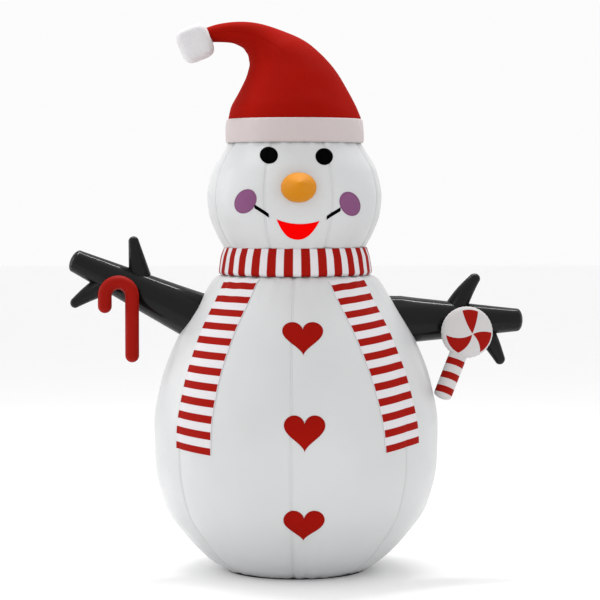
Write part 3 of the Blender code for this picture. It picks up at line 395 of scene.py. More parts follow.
def webbing(name, color):
    """Narrow woven strap, with ribs across it."""
    f = Finish(name, 0.75, Sheen_Weight=0.25)
    rib = f.weave(0.0024)
    # Painted light and shade: lighter on the ribs, darker in the gaps between them, following the ribs' bump
    f.color(f.mix(rib, shade(color, 0.6), shade(color, 1.35)))
    f.bump(rib, 0.0004)
    f.bump(f.noise(500.0, 3.0), 0.0001)
    return f.done()


WHITE, RED = (0.568, 0.576, 0.580), (0.285, 0.005, 0.002)
PLUSH_WHITE, PUFF_WHITE, BLACK = (0.53, 0.465, 0.465), (0.60, 0.59, 0.60), (0.003, 0.0033, 0.0033)
STRIPE_WHITE, CANDY_WHITE = (0.655, 0.635, 0.655), (0.555, 0.535, 0.535)
STRIPE_RED, CANDY_RED = (0.30, 0.006, 0.003), (0.28, 0.006, 0.003)
STEEL, GREY, STRAP = (0.60, 0.60, 0.61), (0.26, 0.27, 0.28), (0.026, 0.026, 0.029)


def stripes(f, value, pitch, low, high, edge=0.02):
    """A mask of stripes: 1 where the value's place in its pitch is between two shares."""
    place = f.math("FRACT", f.over(value, pitch))
    return f.minus(f.span(place, low - edge, low + edge), f.span(place, high - edge, high + edge))


# ---------------------------------------------------------------- the two envelopes
class Envelope:
    """A gored, air-filled surface of revolution with seam grooves, puckers and soft folds."""

    def __init__(self, outline, gores, first_seam, centre_x, relief):
        self.z, self.r = np.array(outline).T
        self.gores, self.first_seam, self.centre_x, self.relief = gores, first_seam, centre_x, relief
        steps = np.diff(self.r) / np.diff(self.z)
        a, b = steps[:-1], steps[1:]
        inner = np.where(a * b <= 0, 0.0, 2 * a * b / np.where(a + b == 0, 1, a + b))
        self.tangents = np.concatenate([steps[:1], inner, steps[-1:]])

    def radius(self, z):
        z = np.clip(z, self.z[0], self.z[-1])
        i = np.clip(np.searchsorted(self.z, z, side="right") - 1, 0, len(self.z) - 2)
        span = self.z[i + 1] - self.z[i]
        t = (z - self.z[i]) / span
        return (self.r[i] * (1 + 2 * t) * (1 - t) ** 2 + self.tangents[i] * span * t * (1 - t) ** 2
                + self.r[i + 1] * t * t * (3 - 2 * t) + self.tangents[i + 1] * span * t * t * (t - 1))

    def slope(self, z):
        step = 0.002
        return (self.radius(z + step) - self.radius(z - step)) / (2 * step)

    def across(self, azimuth):
        """-1..1 over a gore, with its seams at the two ends."""
        pitch = 360.0 / self.gores
        return 2 * (((azimuth - self.first_seam) % pitch) / pitch) - 1

    def point(self, azimuth, z, lift=0.0, grooved=1.0):
        azimuth, z = np.asarray(azimuth, float), np.asarray(z, float)
        angle, slope = np.radians(azimuth), self.slope(z)
        normal = np.hypot(1, slope)
        across = self.across(azimuth)
        reach = self.radius(z) * (1 - CREASE * np.abs(across) ** 4)
        lift = lift + self.relief(self, azimuth, z, across, grooved)
        reach = reach + lift / normal
        return np.stack([self.centre_x + reach * np.sin(angle), -reach * np.cos(angle),
                         z - lift * slope / normal + 0 * reach], -1)

    def seam_distance(self, z, across):
        return (1 - np.abs(across)) * math.pi / self.gores * self.radius(z)

    def even_heights(self, low, high, count):
        fine = np.linspace(low, high, 1201)
        run = np.concatenate([[0], np.cumsum(np.hypot(np.diff(fine), np.diff(self.radius(fine))))])
        return np.interp(np.linspace(0, run[-1], count), run, fine), np.linspace(0, run[-1], count)

    def surface(self, name, rows, per_gore, crowd=0.13):
        """The whole envelope, its columns crowded towards the seams."""
        share = np.arange(per_gore) / per_gore
        share = share - crowd * np.sin(2 * np.pi * share)
        pitch = 360.0 / self.gores
        azimuths = (self.first_seam + pitch * (np.arange(self.gores)[:, None] + share)).ravel()
        heights, run = self.even_heights(self.z[0], self.z[-1], rows)
        points = self.point(azimuths[None, :], heights[:, None])
        half = per_gore // 2
        full = np.concatenate([share, [1.0]])
        left = np.where(np.arange(per_gore) < half, full[:-1], full[:-1] - 1)
        right = np.where(np.arange(per_gore) < half, full[1:], full[1:] - 1)
        wide = 2 * math.pi / self.gores * self.radius(heights)[:, None]
        down = np.broadcast_to(run[:, None], (rows, per_gore * self.gores))
        uv = np.stack([np.tile(left, self.gores) * wide, down], -1)
        uv_next = np.stack([np.tile(right, self.gores) * wide, down], -1)
        return grid(name, points, uv=uv, uv_next=uv_next)


def seam_relief(env, azimuth, z, across, grooved, reach, size, pitch):
    """The stitched groove along each seam, and the small gathers beside it."""
    away = env.seam_distance(z, across)
    groove = -0.0022 * bell(away, 0.006)
    seam_number = np.round((azimuth - env.first_seam) / (360.0 / env.gores))
    turn = 2 * np.pi * z / pitch + 2.1 * seam_number
    turn = turn + 1.3 * np.sin(z * 23.0 + seam_number) + np.sign(across) * 0.7
    gather = np.sin(turn) * np.exp(-away / reach) * (1 - bell(away, 0.008))
    gather = gather * (0.65 + 0.35 * np.sin(z * 7.3 + seam_number * 1.9))
    return grooved * (groove + size * gather)


def body_relief(env, azimuth, z, across, grooved):
    a = np.radians(azimuth)
    total = seam_relief(env, azimuth, z, across, grooved, 0.030, 0.0011, 0.052)
    low = 1 - smoothstep(0.02, 0.42, z)
    fold = low * 0.0022 * np.cos(a * 28 + 2.0 * np.sin(a * 3) + z * 3.0)
    total = total + fold * (0.5 + 0.5 * np.sin(a * 5 + 1.0))
    high = smoothstep(1.12, 1.30, z)
    total = total + high * 0.0020 * np.cos(a * 35 + 1.5 * np.sin(a * 4))
    total = total - 0.010 * bell(z - 1.302, 0.017)     # the collar's hold on the neck
    total = total + 0.0012 * np.sin(a * 6 + z * 4.0) * np.sin(z * 5.1 + a * 2)
    return total


def head_relief(env, azimuth, z, across, grooved):
    a = np.radians(azimuth)
    total = seam_relief(env, azimuth, z, across, grooved, 0.024, 0.0009, 0.046)
    low = 1 - smoothstep(1.36, 1.50, z)
    total = total + low * 0.0022 * np.cos(a * 32 + 1.7 * np.sin(a * 5))
    high = smoothstep(1.80, 1.88, z)
    total = total + high * 0.0020 * np.cos(a * 24 + 1.9 * np.sin(a * 3))
    return total + 0.0009 * np.sin(a * 5 + z * 6.0)


BODY = Envelope(BODY_OUTLINE, BODY_GORES, BODY_FIRST_SEAM, 0.0, body_relief)
HEAD = Envelope(HEAD_OUTLINE, HEAD_GORES, HEAD_FIRST_SEAM, HEAD_X, head_relief)


def blower_place():
    """The blower's own frame: +Z is the intake's outward direction, +Y points down the back."""
    surface_y = float(BODY.radius(BLOWER_HEIGHT)) + BLOWER_LIFT
    tilt = Matrix.Rotation(-math.radians(90 + BLOWER_TILT), 4, "X")
    return Matrix.Translation((0, surface_y, BLOWER_HEIGHT)) @ tilt


def open_for_blower(mesh):
    """Cuts the blower's port into the body and draws the fabric up to the flange around it."""
    place = blower_place()
    back = place.inverted()
    bm = bmesh.new()
    bm.from_mesh(mesh)
    hole, held, free = BLOWER_RADIUS + 0.003, FLANGE_RADIUS - 0.002, FLANGE_RADIUS + 0.075
    gone = []
    for vert in bm.verts:
        at = back @ vert.co
        away = math.hypot(at.x, at.y)
        if vert.co.y < 0 or away > free:
            continue
        if away < hole - 0.004:
            gone.append(vert)
            continue
        share = 1 - float(smoothstep(held, free, away))
        pleat = 0.0012 * math.sin(math.atan2(at.y, at.x) * 26) * math.sin(math.pi * share)
        at.z += (BLOWER_LIFT - 0.0025 - at.z) * share + pleat
        vert.co = place @ at
    bmesh.ops.delete(bm, geom=gone, context="VERTS")
    bm.to_mesh(mesh)
    bm.free()


shell = fabric("shell_white", WHITE, 0.40, sheen=0.05, ripstop=True, stitched=0.0042, coat=0.08,
               creases=0.0004, vary=0.02, shine=0.4)
body_mesh = BODY.surface("body_fabric", 220, 36)
open_for_blower(body_mesh)
body = piece("body_fabric", body_mesh, shell, "body_envelope")
head = piece("head_fabric", HEAD.surface("head_fabric", 96, 30), shell, "head_envelope")

base_rows = [(0.0, BASE_THICK), (0.15, BASE_THICK), (BASE_RADIUS - 0.010, BASE_THICK),
             (BASE_RADIUS - 0.0015, BASE_THICK), (BASE_RADIUS, BASE_THICK * 0.6), (BASE_RADIUS, 0.0008),
             (BASE_RADIUS - 0.0015, 0.0), (0.15, 0.0), (0.0, 0.0)]
base_mesh = turned("base_cloth", base_rows)
base_black = fabric("base_black", (0.02, 0.021, 0.023), 0.6, sheen=0.1, ripstop=True, pitch=0.002,
                    weave=0.0003)
base = piece("base_cloth", base_mesh, base_black, "base_panel")


# ---------------------------------------------------------------- sewn-on shapes
def wrapped(env, outline, azimuth, z):
    """Points in metres across and up, laid onto an envelope around a place on it."""
    outline = np.asarray(outline, float)
    height = z + outline[..., 1] / np.hypot(1, env.slope(z + outline[..., 1] / 2))
    return azimuth + np.degrees(outline[..., 0] / env.radius(height)), height


def faced(env, outline, azimuth, z):
    """Points in metres across and up as seen from the front, laid onto an envelope around a place on it."""
    outline = np.asarray(outline, float)
    height = z + outline[..., 1]
    across = env.radius(z) * math.sin(math.radians(azimuth)) + outline[..., 0]
    return np.degrees(np.arcsin(across / env.radius(height))), height


def applique(name, env, outline, azimuth, z, finish, node, slot, puff=0.0022, edge=0.0075, rise=0.0018,
             lying=wrapped):
    """A sewn-on shape: turned-under edge, a stitched groove just inside it and a slightly puffed middle."""
    outline = np.asarray(outline, float)
    size = np.linalg.norm(outline, axis=1).mean()
    inward = np.concatenate([[0, 0, 0.0006, 0.0016, 0.0028, 0.0036, 0.0044, 0.0052, edge],
                             np.linspace(edge, size, 9)[1:]])
    lifts = [-0.0008, rise * 0.6, rise, rise * 1.1, rise * 0.9, rise * 0.45, rise * 0.45, rise * 0.9,
             rise * 1.25]
    lifts += [rise * 1.25 + puff * math.sin(math.pi / 2 * t) for t in np.linspace(0, 1, 9)[1:]]
    keep = 1 - inward / size
    shapes = outline[None] * keep[:-1, None, None]
    turn, height = lying(env, shapes, azimuth, z)
    points = env.point(turn, height, np.array(lifts[:-1])[:, None], 0.2)
    middle = env.point(*lying(env, (0.0, 0.0), azimuth, z), lifts[-1], 0.2)
    uv = np.concatenate([shapes, shapes[:, :1]], 1)
    mesh = grid(name, points, uv=uv, tip=middle)
    return piece(name, mesh, finish, node)


def ellipse(half_wide, half_high, tilt=0.0, count=96):
    t = circle(count)
    x, y, turn = half_wide * np.cos(t), half_high * np.sin(t), math.radians(tilt)
    return np.stack([x * math.cos(turn) - y * math.sin(turn), x * math.sin(turn) + y * math.cos(turn)], -1)


def face_place(azimuth, z):
    """A place on the face, which is rolled a little towards one side."""
    return azimuth, z - math.radians(azimuth) * float(HEAD.radius(z)) * math.sin(math.radians(FACE_ROLL))


def mouth_outline(half_wide=0.0915, corner=0.046, upper=0.029, lower=-0.044, count=48):
    s = np.linspace(-1, 1, count)
    top = np.stack([half_wide * s, upper + (corner - upper) * s * s], -1)
    r = s[::-1][1:-1]
    r = np.sin(r * np.pi / 2)
    bottom = np.stack([half_wide * r, corner + (lower - corner) * (1 - np.abs(r) ** 2.3)], -1)
    shape, turn = np.concatenate([top, bottom]), math.radians(MOUTH_TURN)
    x, y = shape.T
    return np.stack([x * math.cos(turn) + y * math.sin(turn), y * math.cos(turn) - x * math.sin(turn)], -1)


def heart_outline(count=120):
    t = circle(count)
    x = 16 * np.sin(t) ** 3
    y = 13 * np.cos(t) - 5 * np.cos(2 * t) - 2 * np.cos(3 * t) - np.cos(4 * t)
    return np.stack([x / 32 * HEART_WIDTH, (y + 2.5) / 29 * HEART_HEIGHT], -1)


eye_black = fabric("eye_black", (0.0004, 0.0004, 0.0004), 0.6, shine=0.01)
cheek_felt = fabric("cheek_purple", (0.205, 0.072, 0.172), 0.75, sheen=0.08, plush=0.0003)
mouth_satin = fabric("mouth_red", (0.86, 0.0, 0.0), 0.6, vary=0.03, shine=0.01)
heart_felt = fabric("heart_red", RED, 0.6, shine=0.03, plush=0.0002)
for side, name, azimuth in ((-1, "left", EYE_AZIMUTHS[0]), (1, "right", EYE_AZIMUTHS[1])):
    eye = applique("eye_patch_" + name, HEAD, ellipse(*EYE_HALF), *face_place(azimuth, EYE_Z), eye_black,
                   "eye_" + name, "trim_black", puff=0.0008, lying=faced)
    cheek = applique("cheek_patch_" + name, HEAD, ellipse(*CHEEK_HALF, side * CHEEK_TILT),
                     *face_place(side * CHEEK_AZIMUTH, CHEEK_Z), cheek_felt, "cheek_" + name, "cheek_purple",
                     lying=faced)
    line = catmull([(28.6, 1.5845), (25.5, 1.5725), (22.3, 1.5598), (19.0, 1.5465)], 40)
    places = np.array([face_place(side * a + (-0.6 if side < 0 else 0.0), z - side * 0.002) for a, z in line])
    offsets = np.array([(-0.0086, -0.0004), (-0.0083, 0.0012), (-0.0052, 0.0020), (0, 0.0023),
                        (0.0052, 0.0020), (0.0083, 0.0012), (0.0086, -0.0004)])
    rows = np.stack([HEAD.point(places[:, 0], places[:, 1] + up, lift, 0.2) for up, lift in offsets], 1)
    smile = piece("smile_strip_" + name, grid("smile_strip", rows, wrap=False), eye_black,
                  "smile_line_" + name)
    length = float(run_along(rows[:, 3])[-1])
mouth = applique("mouth_patch", HEAD, mouth_outline(), *face_place(MOUTH_AZIMUTH, MOUTH_Z), mouth_satin,
                 "mouth", "mouth_red")
for name, z in HEART_HEIGHTS.items():
    heart = applique("heart_patch_" + name, BODY, heart_outline(), HEART_AZIMUTH, z, heart_felt,
                     "heart_" + name, "heart_red", puff=0.003)


# ---------------------------------------------------------------- nose
def nose_rows():
    """Rings of the nose, which leans a little up, with four gore seams and a gathered root."""
    rise = math.radians(NOSE_RISE)
    axis = np.array([0, -math.cos(rise), math.sin(rise)])
    up, over = np.array([0, math.sin(rise), math.cos(rise)]), np.array([1.0, 0, 0])
    base = np.array([HEAD_X, -float(HEAD.radius(NOSE_Z)), NOSE_Z])
    shares = catmull([(-0.16, 0.98), (0.04, 1.0), (0.24, 0.96), (0.44, 0.80), (0.64, 0.57), (0.82, 0.34),
                      (0.95, 0.14), (1.0, 0.0)], 70)
    sides = 96
    t = circle(sides)
    rows = []
    for along, wide in shares:
        groove = 1 - 0.018 * bell(np.sin(t * 2), 0.10)
        gather = 1 + 0.008 * np.cos(t * 17 + np.sin(t * 3)) * (1 - smoothstep(0.0, 0.42, along))
        ring = wide * groove * gather
        rows.append(base + axis * NOSE_LENGTH * along + over * (NOSE_WIDE * ring * np.cos(t))[:, None]
                    + up * (NOSE_HIGH * ring * np.sin(t))[:, None])
    return np.array(rows), base + axis * NOSE_LENGTH


rows, nose_tip = nose_rows()
nose = piece("nose_cone", grid("nose_cone", rows[:-1], tip=nose_tip),
             fabric("nose_orange", (0.58, 0.215, 0.005), 0.5, creases=0.0005, shine=0.10), "nose")


# ---------------------------------------------------------------- hat
def band_rows(low, high, inner, outer, bulge, sides, pleats, depth, phase):
    """A padded band: a soft barrel outside, rolled edges and a wall inside, gathered along both edges."""
    height = high - low
    first, last = outer
    outside = [(first - 0.006, 0.0), (first - 0.0005, 0.03), (first + bulge * 0.55, 0.12),
               (first + (last - first) * 0.3 + bulge * 0.95, 0.32), ((first + last) / 2 + bulge, 0.5),
               (first + (last - first) * 0.7 + bulge * 0.95, 0.68), (last + bulge * 0.55, 0.88),
               (last - 0.0005, 0.97), (last - 0.006, 1.0)]
    curve = catmull(outside, 44)
    walls = [(inner[1], 0.98), ((inner[0] + inner[1]) / 2, 0.5), (inner[0], 0.03)]
    turns = circle(sides)
    rows = []
    for number, (r, share) in enumerate(list(curve) + walls):
        near = np.clip(1 - 4 * share * (1 - share), 0, 1) ** 1.5 if number < len(curve) else 0.0
        wave = np.cos(turns * pleats + phase * np.sin(turns * 3) + share * 2.0)
        reach = r + depth * near * wave + 0.0006 * np.sin(turns * 9 + share * 5)
        rows.append(np.stack([reach * np.sin(turns), -reach * np.cos(turns),
                              np.full(sides, low + share * height)], -1))
    return np.array(rows)


def band(name, low, high, inner, outer, bulge, at_x, finish, node, sides=288, pleats=44, depth=0.0014,
         phase=1.7):
    rows = band_rows(low, high, inner, outer, bulge, sides, pleats, depth, phase)
    rows = np.concatenate([rows, rows[:1]])
    share = np.arange(sides + 1) / sides
    run = run_along(rows[:, 0])
    uv = chart(share * 2 * math.pi * outer[0], run)
    made = piece(name, grid(name, rows, uv=uv), finish, node,
                 Matrix.Translation((at_x, 0, 0)))


plush = fabric("plush_white", PLUSH_WHITE, 0.85, sheen=0.15, plush=0.0005, creases=0.0010,
               crease_scale=30.0, stretch=(1, 1, 1), vary=0.03)
band("brim_plush", BRIM_LOW, BRIM_TOP, (0.2925, 0.271), (0.2985, 0.2955), 0.004, HEAD_X, plush, "hat_brim",
            depth=0.0010)


def hat_rows(count=150, sides=96):
    """The crown's rings from its inner and outer edges: side seams, folds at the bend and a rolled end."""
    edges = catmull([(*inner, *outer) for inner, outer in HAT_ROWS], count)
    t = circle(sides)
    bend = bell(np.linspace(0, 1, count) - 0.50, 0.22)
    rows = []
    for k, (ix, iz, ox, oz) in enumerate(edges):
        inner, outer = np.array([ix, 0, iz]), np.array([ox, 0, oz])
        middle, half = (inner + outer) / 2, (outer - inner) / 2
        radius = np.linalg.norm(half)
        along = half / radius
        groove = 0.0022 * bell(np.cos(t), 0.035)
        inside = np.clip(-np.cos(t), 0, 1) ** 2
        fold = 0.0008 * bend[k] * inside * np.sin(k * 0.40 + 0.8 * np.sin(2 * t))
        soft = 0.0016 * np.sin(t * 3 + k * 0.05) * np.sin(k * 0.07 + t)
        skirt = 0.0012 * math.exp(-k / 6.0) * np.cos(t * 40 + np.sin(t * 5))
        reach = radius - groove + fold + soft * min(1.0, radius / 0.1) + skirt
        rows.append(middle + along * (reach * np.cos(t))[:, None] + np.array([0, 1.0, 0])
                    * (reach * np.sin(t))[:, None])
    rows = np.array(rows)
    start = rows[:1] + np.array([0, 0, -0.008])
    centre = rows[-1].mean(0)
    ahead = centre - rows[-2].mean(0)
    rolled = [centre + (rows[-1] - centre) * k + ahead * s for k, s in ((0.9, 1.2), (0.6, 1.8))]
    return np.concatenate([start, rows, np.array(rolled)])


hat_cloth = fabric("hat_red", RED, 0.75, shine=0.02, plush=0.00025, creases=0.0010, crease_scale=9.0,
                   stretch=(1, 1, 1), vary=0.06)
hat = piece("hat_fabric", grid("hat_fabric", hat_rows()), hat_cloth, "hat_crown")


def make_puff():
    """The puff: a soft, padded cube with well rounded edges, seamed along its four sides and tufted."""
    end_x, end_z = [(inner + outer) / 2 for inner, outer in zip(*HAT_ROWS[-1])]
    place = (Matrix.Translation((end_x, 0, end_z)) @ Matrix.Rotation(math.radians(-PUFF_TILT), 4, "Y")
             @ Matrix.Translation(PUFF_OFFSET))
    rows, sides = 90, 160
    phi = np.linspace(-math.pi / 2, math.pi / 2, rows + 2)[1:-1, None]
    theta = (2 * np.pi * np.arange(sides + 1) / sides)[None, :]
    out = np.stack([np.cos(phi) * np.cos(theta), np.cos(phi) * np.sin(theta), np.sin(phi) + 0 * theta], -1)
    reach = PUFF_HALF / (np.abs(out) ** 3.7).sum(-1) ** (1 / 3.7)
    tuft = 0.0008 * np.sin(theta * 23 + 3 * np.sin(phi * 9))
    tuft = tuft * np.sin(phi * 19 + 2 * np.sin(theta * 7)) * np.cos(phi)
    seam = -0.0012 * bell(np.cos(theta * 2), 0.07) * np.cos(phi) ** 2
    points = out * (reach + tuft + seam)[..., None]
    points[..., 0] *= 0.94
    uv = np.stack([theta * PUFF_HALF * np.cos(phi), (phi + 0 * theta) * PUFF_HALF * 1.2], -1)
    mesh = grid("hat_puff", points[:, :-1], uv=uv, foot=(0, 0, -PUFF_HALF), tip=(0, 0, PUFF_HALF))
    cloth = fabric("puff_plush", PUFF_WHITE, 0.85, sheen=0.10, plush=0.0003, creases=0.0012, shine=0.04)
    made = piece("hat_puff", mesh, cloth, "hat_pompom", place)


make_puff()


# ---------------------------------------------------------------- scarf
def collar_stripes(f, base):
    """Upright red stripes, with a white gap at the front."""
    pitch = 2 * math.pi * COLLAR_RADIUS / COLLAR_STRIPES
    stripe = stripes(f, f.plus(f.u, COLLAR_TURN), pitch, 0.230, 0.770)
    return f.mix(stripe, base, shade(STRIPE_RED, 1.0))


def tail_stripes(f, base):
    """12 level red stripes; the run starts white at the collar and ends red at the hem."""
    stripe = stripes(f, f.v, TAIL_RUN / 11.87, 0.0, 0.49)
    low = f.span(f.v, 0.0020, 0.0028)
    edge = f.times(f.span(f.u, 0.0016, 0.0024),
                   f.span(f.u, TAIL_WIDTH - 0.0024, TAIL_WIDTH - 0.0016, 1.0, 0.0))
    mask = f.times(f.times(stripe, low), edge)
    return f.mix(mask, base, shade(STRIPE_RED, 1.0))


collar_cloth = fabric("collar_striped", STRIPE_WHITE, 0.6, shine=0.04, creases=0.0008, pattern=collar_stripes,
                      vary=0.02)
band("collar_padded", COLLAR_LOW, COLLAR_HIGH, (0.3120, 0.3110), (COLLAR_RADIUS, 0.3120), 0.007, HEAD_X / 2,
     collar_cloth, "scarf_collar", sides=448, pleats=COLLAR_STRIPES, depth=0.0016, phase=0.0)
tail_cloth = fabric("tail_striped", STRIPE_WHITE, 0.6, shine=0.04, creases=0.0006, pattern=tail_stripes,
                    vary=0.02)
for name, (top_azimuth, bottom_azimuth, low, top_tip, hem_tip) in TAILS.items():
    heights, run = BODY.even_heights(low, TAIL_TOP, 180)
    share = (run / run[-1])[:, None]
    run = run * (TAIL_RUN / run[-1])
    middle = bottom_azimuth + (top_azimuth - bottom_azimuth) * share
    across = np.concatenate([[-1, -0.995, -0.985, -0.965, -0.945, -0.925], np.linspace(-0.9, 0.9, 37),
                             [0.925, 0.945, 0.965, 0.985, 0.995, 1]])
    half_wide = TAIL_WIDTH / 2 * (1.03 - 0.10 * share)
    half = np.degrees(half_wide / BODY.radius(heights)[:, None])
    levels = heights[:, None] + (hem_tip + (top_tip - hem_tip) * share) * half_wide * across[None, :]
    edge = 1 - np.abs(across)[None, :]
    lift = 0.0004 + 0.0018 * smoothstep(0, 0.012, edge) - 0.0009 * bell(edge - 0.055, 0.012)
    puff = 0.0022 * smoothstep(0.06, 0.5, edge) * np.abs(np.sin(np.pi * run / run[-1] * 24))[:, None] ** 0.6
    hem = smoothstep(0, 0.004, run)[:, None] - 0.45 * bell(run - 0.010, 0.0025)[:, None]
    points = BODY.point(middle + half * across[None, :], levels, (lift + puff * 0.6) * hem + 0.0006, 0.3)
    uv = chart((across + 1) / 2 * TAIL_WIDTH, run)
    tail = piece("tail_cloth_" + name, grid("tail_cloth", points, wrap=False, uv=uv), tail_cloth,
                 "scarf_tail_" + name)


# ---------------------------------------------------------------- arms, twigs and what the arms carry
def arm_axis(name):
    """The direction an arm points in, out of the body."""
    side, _, rise, _ = ARMS[name]
    return np.array([side * math.cos(math.radians(rise)), 0, math.sin(math.radians(rise))])


def arm_radius(name, x, z):
    """An arm's radius beside a place in the front plane."""
    start, length = np.array(ARMS[name][1]), ARMS[name][3]
    along = float((np.array([x, 0, z]) - start) @ arm_axis(name)) / length
    return ARM_ROOT_RADIUS + (ARM_TIP_RADIUS - ARM_ROOT_RADIUS) * along


def limb(name, start, axis, length, root, tip, dome, inside, rows, sides, finish, node, folds, gather_at_tip,
         bow=0.0):
    """A tapered, air-filled limb with two long seams, gathers at its root and a puckered round tip."""
    s = np.linspace(-inside, length - dome, rows)
    cap = np.linspace(0, math.pi / 2, 12)[1:-1]
    along = np.concatenate([s, length - dome + dome * np.sin(cap)])
    radius = root + (tip - root) * np.clip(along, 0, length - dome) / (length - dome)
    radius[len(s):] = tip * np.cos(cap)
    t = circle(sides)
    start, ax = np.asarray(start, float), np.asarray(axis, float)
    over = np.cross(ax, np.array([0, 1.0, 0]))
    over /= np.linalg.norm(over)
    if over[2] < 0:
        over = -over
    side = np.cross(ax, over)
    share = np.clip(along / length, 0, 1)[:, None]
    groove = -0.0014 * bell(np.cos(t), 0.06)[None, :]
    root_folds = folds * np.exp(-np.clip(along, 0, None) / 0.05)[:, None]
    root_folds = root_folds * np.cos(11 * t + 1.3 * np.sin(3 * t))
    soft = 0.35 * folds * np.sin(along[:, None] * 60 + 2 * np.sin(t * 2)) * bell(np.cos(t), 0.35)
    tip_folds = gather_at_tip * smoothstep(length - dome - 0.02, length, along)[:, None] * np.cos(14 * t)
    relief = (groove + root_folds + soft) * np.minimum(1, radius / tip)[:, None]
    reach = radius[:, None] * (1 + tip_folds / max(tip, 0.01)) + relief
    arch = np.sin(np.pi * np.clip(along / length, 0, 1))
    curve = bow * arch
    reach = reach * (1 + BOW_SWELL * abs(bow) * arch)[:, None]
    points = (start + ax * along[:, None, None] + over * curve[:, None, None]
              + over * (reach * np.cos(t))[..., None] + side * (reach * np.sin(t))[..., None])
    piece(name, grid(name, points, tip=start + ax * length), finish, node)


glossy = fabric("arm_black", BLACK, 0.5, creases=0.0, shine=0.04, vary=0.15, coat=0.30,
                weave=0.00002)
for name, (_, start, _, length) in ARMS.items():
    limb("arm_fabric_" + name, start, arm_axis(name), length, ARM_ROOT_RADIUS, ARM_TIP_RADIUS, ARM_DOME,
         0.075, 120, 72, glossy, "arm_" + name, 0.0014, 0.0012)
for name, root_at, tip_at, root, tip in TWIGS:
    (root_x, root_z), (tip_x, tip_z), bow = TWIG_LEANS[name]
    start = np.array([root_at[0] + root_x, 0, root_at[1] + root_z])
    end = np.array([tip_at[0] + tip_x, 0, tip_at[1] + tip_z])
    length = float(np.linalg.norm(end - start))
    limb("twig_fabric_" + name, start, (end - start) / length, length, root, tip, tip, 0.0, 60, 48, glossy,
         "twig_" + name, 0.0006, 0.0, bow)


def make_cane():
    """The candy cane, bent over the left arm's front."""
    depth = -(arm_radius("left", CANE_X, CANE_BEND_Z + CANE_BEND) + CANE_RADIUS + LIFT)
    long_x, short_x = CANE_X + CANE_BEND, CANE_X - CANE_BEND
    turn = np.linspace(0, math.pi, 60)
    bend = np.stack([CANE_X + CANE_BEND * np.cos(turn), np.full(60, depth),
                     CANE_BEND_Z + CANE_BEND * np.sin(turn)], -1)
    up = np.stack([np.full(70, long_x), np.full(70, depth), np.linspace(CANE_LONG_Z, CANE_BEND_Z, 70)], -1)
    down = np.stack([np.full(14, short_x), np.full(14, depth), np.linspace(CANE_BEND_Z, CANE_SHORT_Z, 14)],
                    -1)
    line = np.concatenate([up[:-1], bend, down[1:]])
    run = run_along(line)
    rings = sweep(line, CANE_RADIUS, 64, (0, 1, 0))
    t = circle(64)
    # the seams run down the front and the back; the hook's inner side is gathered into small folds
    centre = line[:, None]
    out = (rings - centre) / CANE_RADIUS
    hook = smoothstep(0.24, 0.29, run) * (1 - smoothstep(0.42, 0.47, run))
    inward = (np.array([CANE_X, depth, CANE_BEND_Z]) - line)
    inward /= np.linalg.norm(inward, axis=1)[:, None]
    facing = np.clip((out * inward[:, None]).sum(-1), 0, 1)
    groove = -0.0010 * bell(np.sin(t), 0.10)[None, :]
    fold = 0.0012 * hook[:, None] * facing * np.sin(run * 420)[:, None]
    rings = rings + out * (groove + fold)[..., None]

    def cap(ring, middle, direction):
        steps = np.linspace(0, math.pi / 2, 9)[1:-1]
        return [middle + (ring - middle) * math.cos(a) + direction * CANE_RADIUS * math.sin(a) for a in steps]
    fall = np.array([0, 0, -1.0])
    head_cap = cap(rings[0], line[0], fall)[::-1]
    tail_cap = cap(rings[-1], line[-1], fall)
    points = np.concatenate([np.array(head_cap), rings, np.array(tail_cap)])
    cloth = fabric("cane_red", (0.27, 0.006, 0.003), 0.5, shine=0.05, creases=0.0007, crease_scale=22.0,
                   stretch=(1, 1, 1))
    item = piece("cane_fabric", grid("cane_fabric", points, tip=line[-1] + fall * CANE_RADIUS,
                                     foot=line[0] + fall * CANE_RADIUS), cloth, "candy_cane")


def swirl(f, base):
    """Three curved red sectors between white ones, round a hub a little to the right of the middle."""
    x, y = f.minus(f.u, 0.020), f.plus(f.v, 0.006)
    away = f.math("SQRT", f.plus(f.times(x, x), f.times(y, y)))
    turn = f.over(f.math("ARCTAN2", y, x), 2 * math.pi)
    total = 0.0
    for low, high, bow_low, bow_high in SWIRL_SECTORS:
        start = f.plus(f.times(away, bow_low), low)
        width = f.plus(f.times(away, bow_high - bow_low), high - low)
        place = f.math("FRACT", f.plus(f.minus(turn, start), 2.0))
        edge = f.over(0.0009, f.math("MAXIMUM", f.times(away, 2 * math.pi), 0.002))
        inside = f.times(f.math("GREATER_THAN", place, edge),
                        f.math("LESS_THAN", place, f.minus(width, edge)))
        total = inside if isinstance(total, float) else f.math("MAXIMUM", total, inside)
    off = f.minus(f.u, 0.006)
    rim = f.math("SQRT", f.plus(f.times(off, off), f.times(f.v, f.v)))
    total = f.times(total, f.span(rim, 0.0985, 0.1000, 1.0, 0.0))
    total = f.times(total, f.span(away, 0.003, 0.005))
    return f.mix(total, base, shade(CANDY_RED, 1.0))


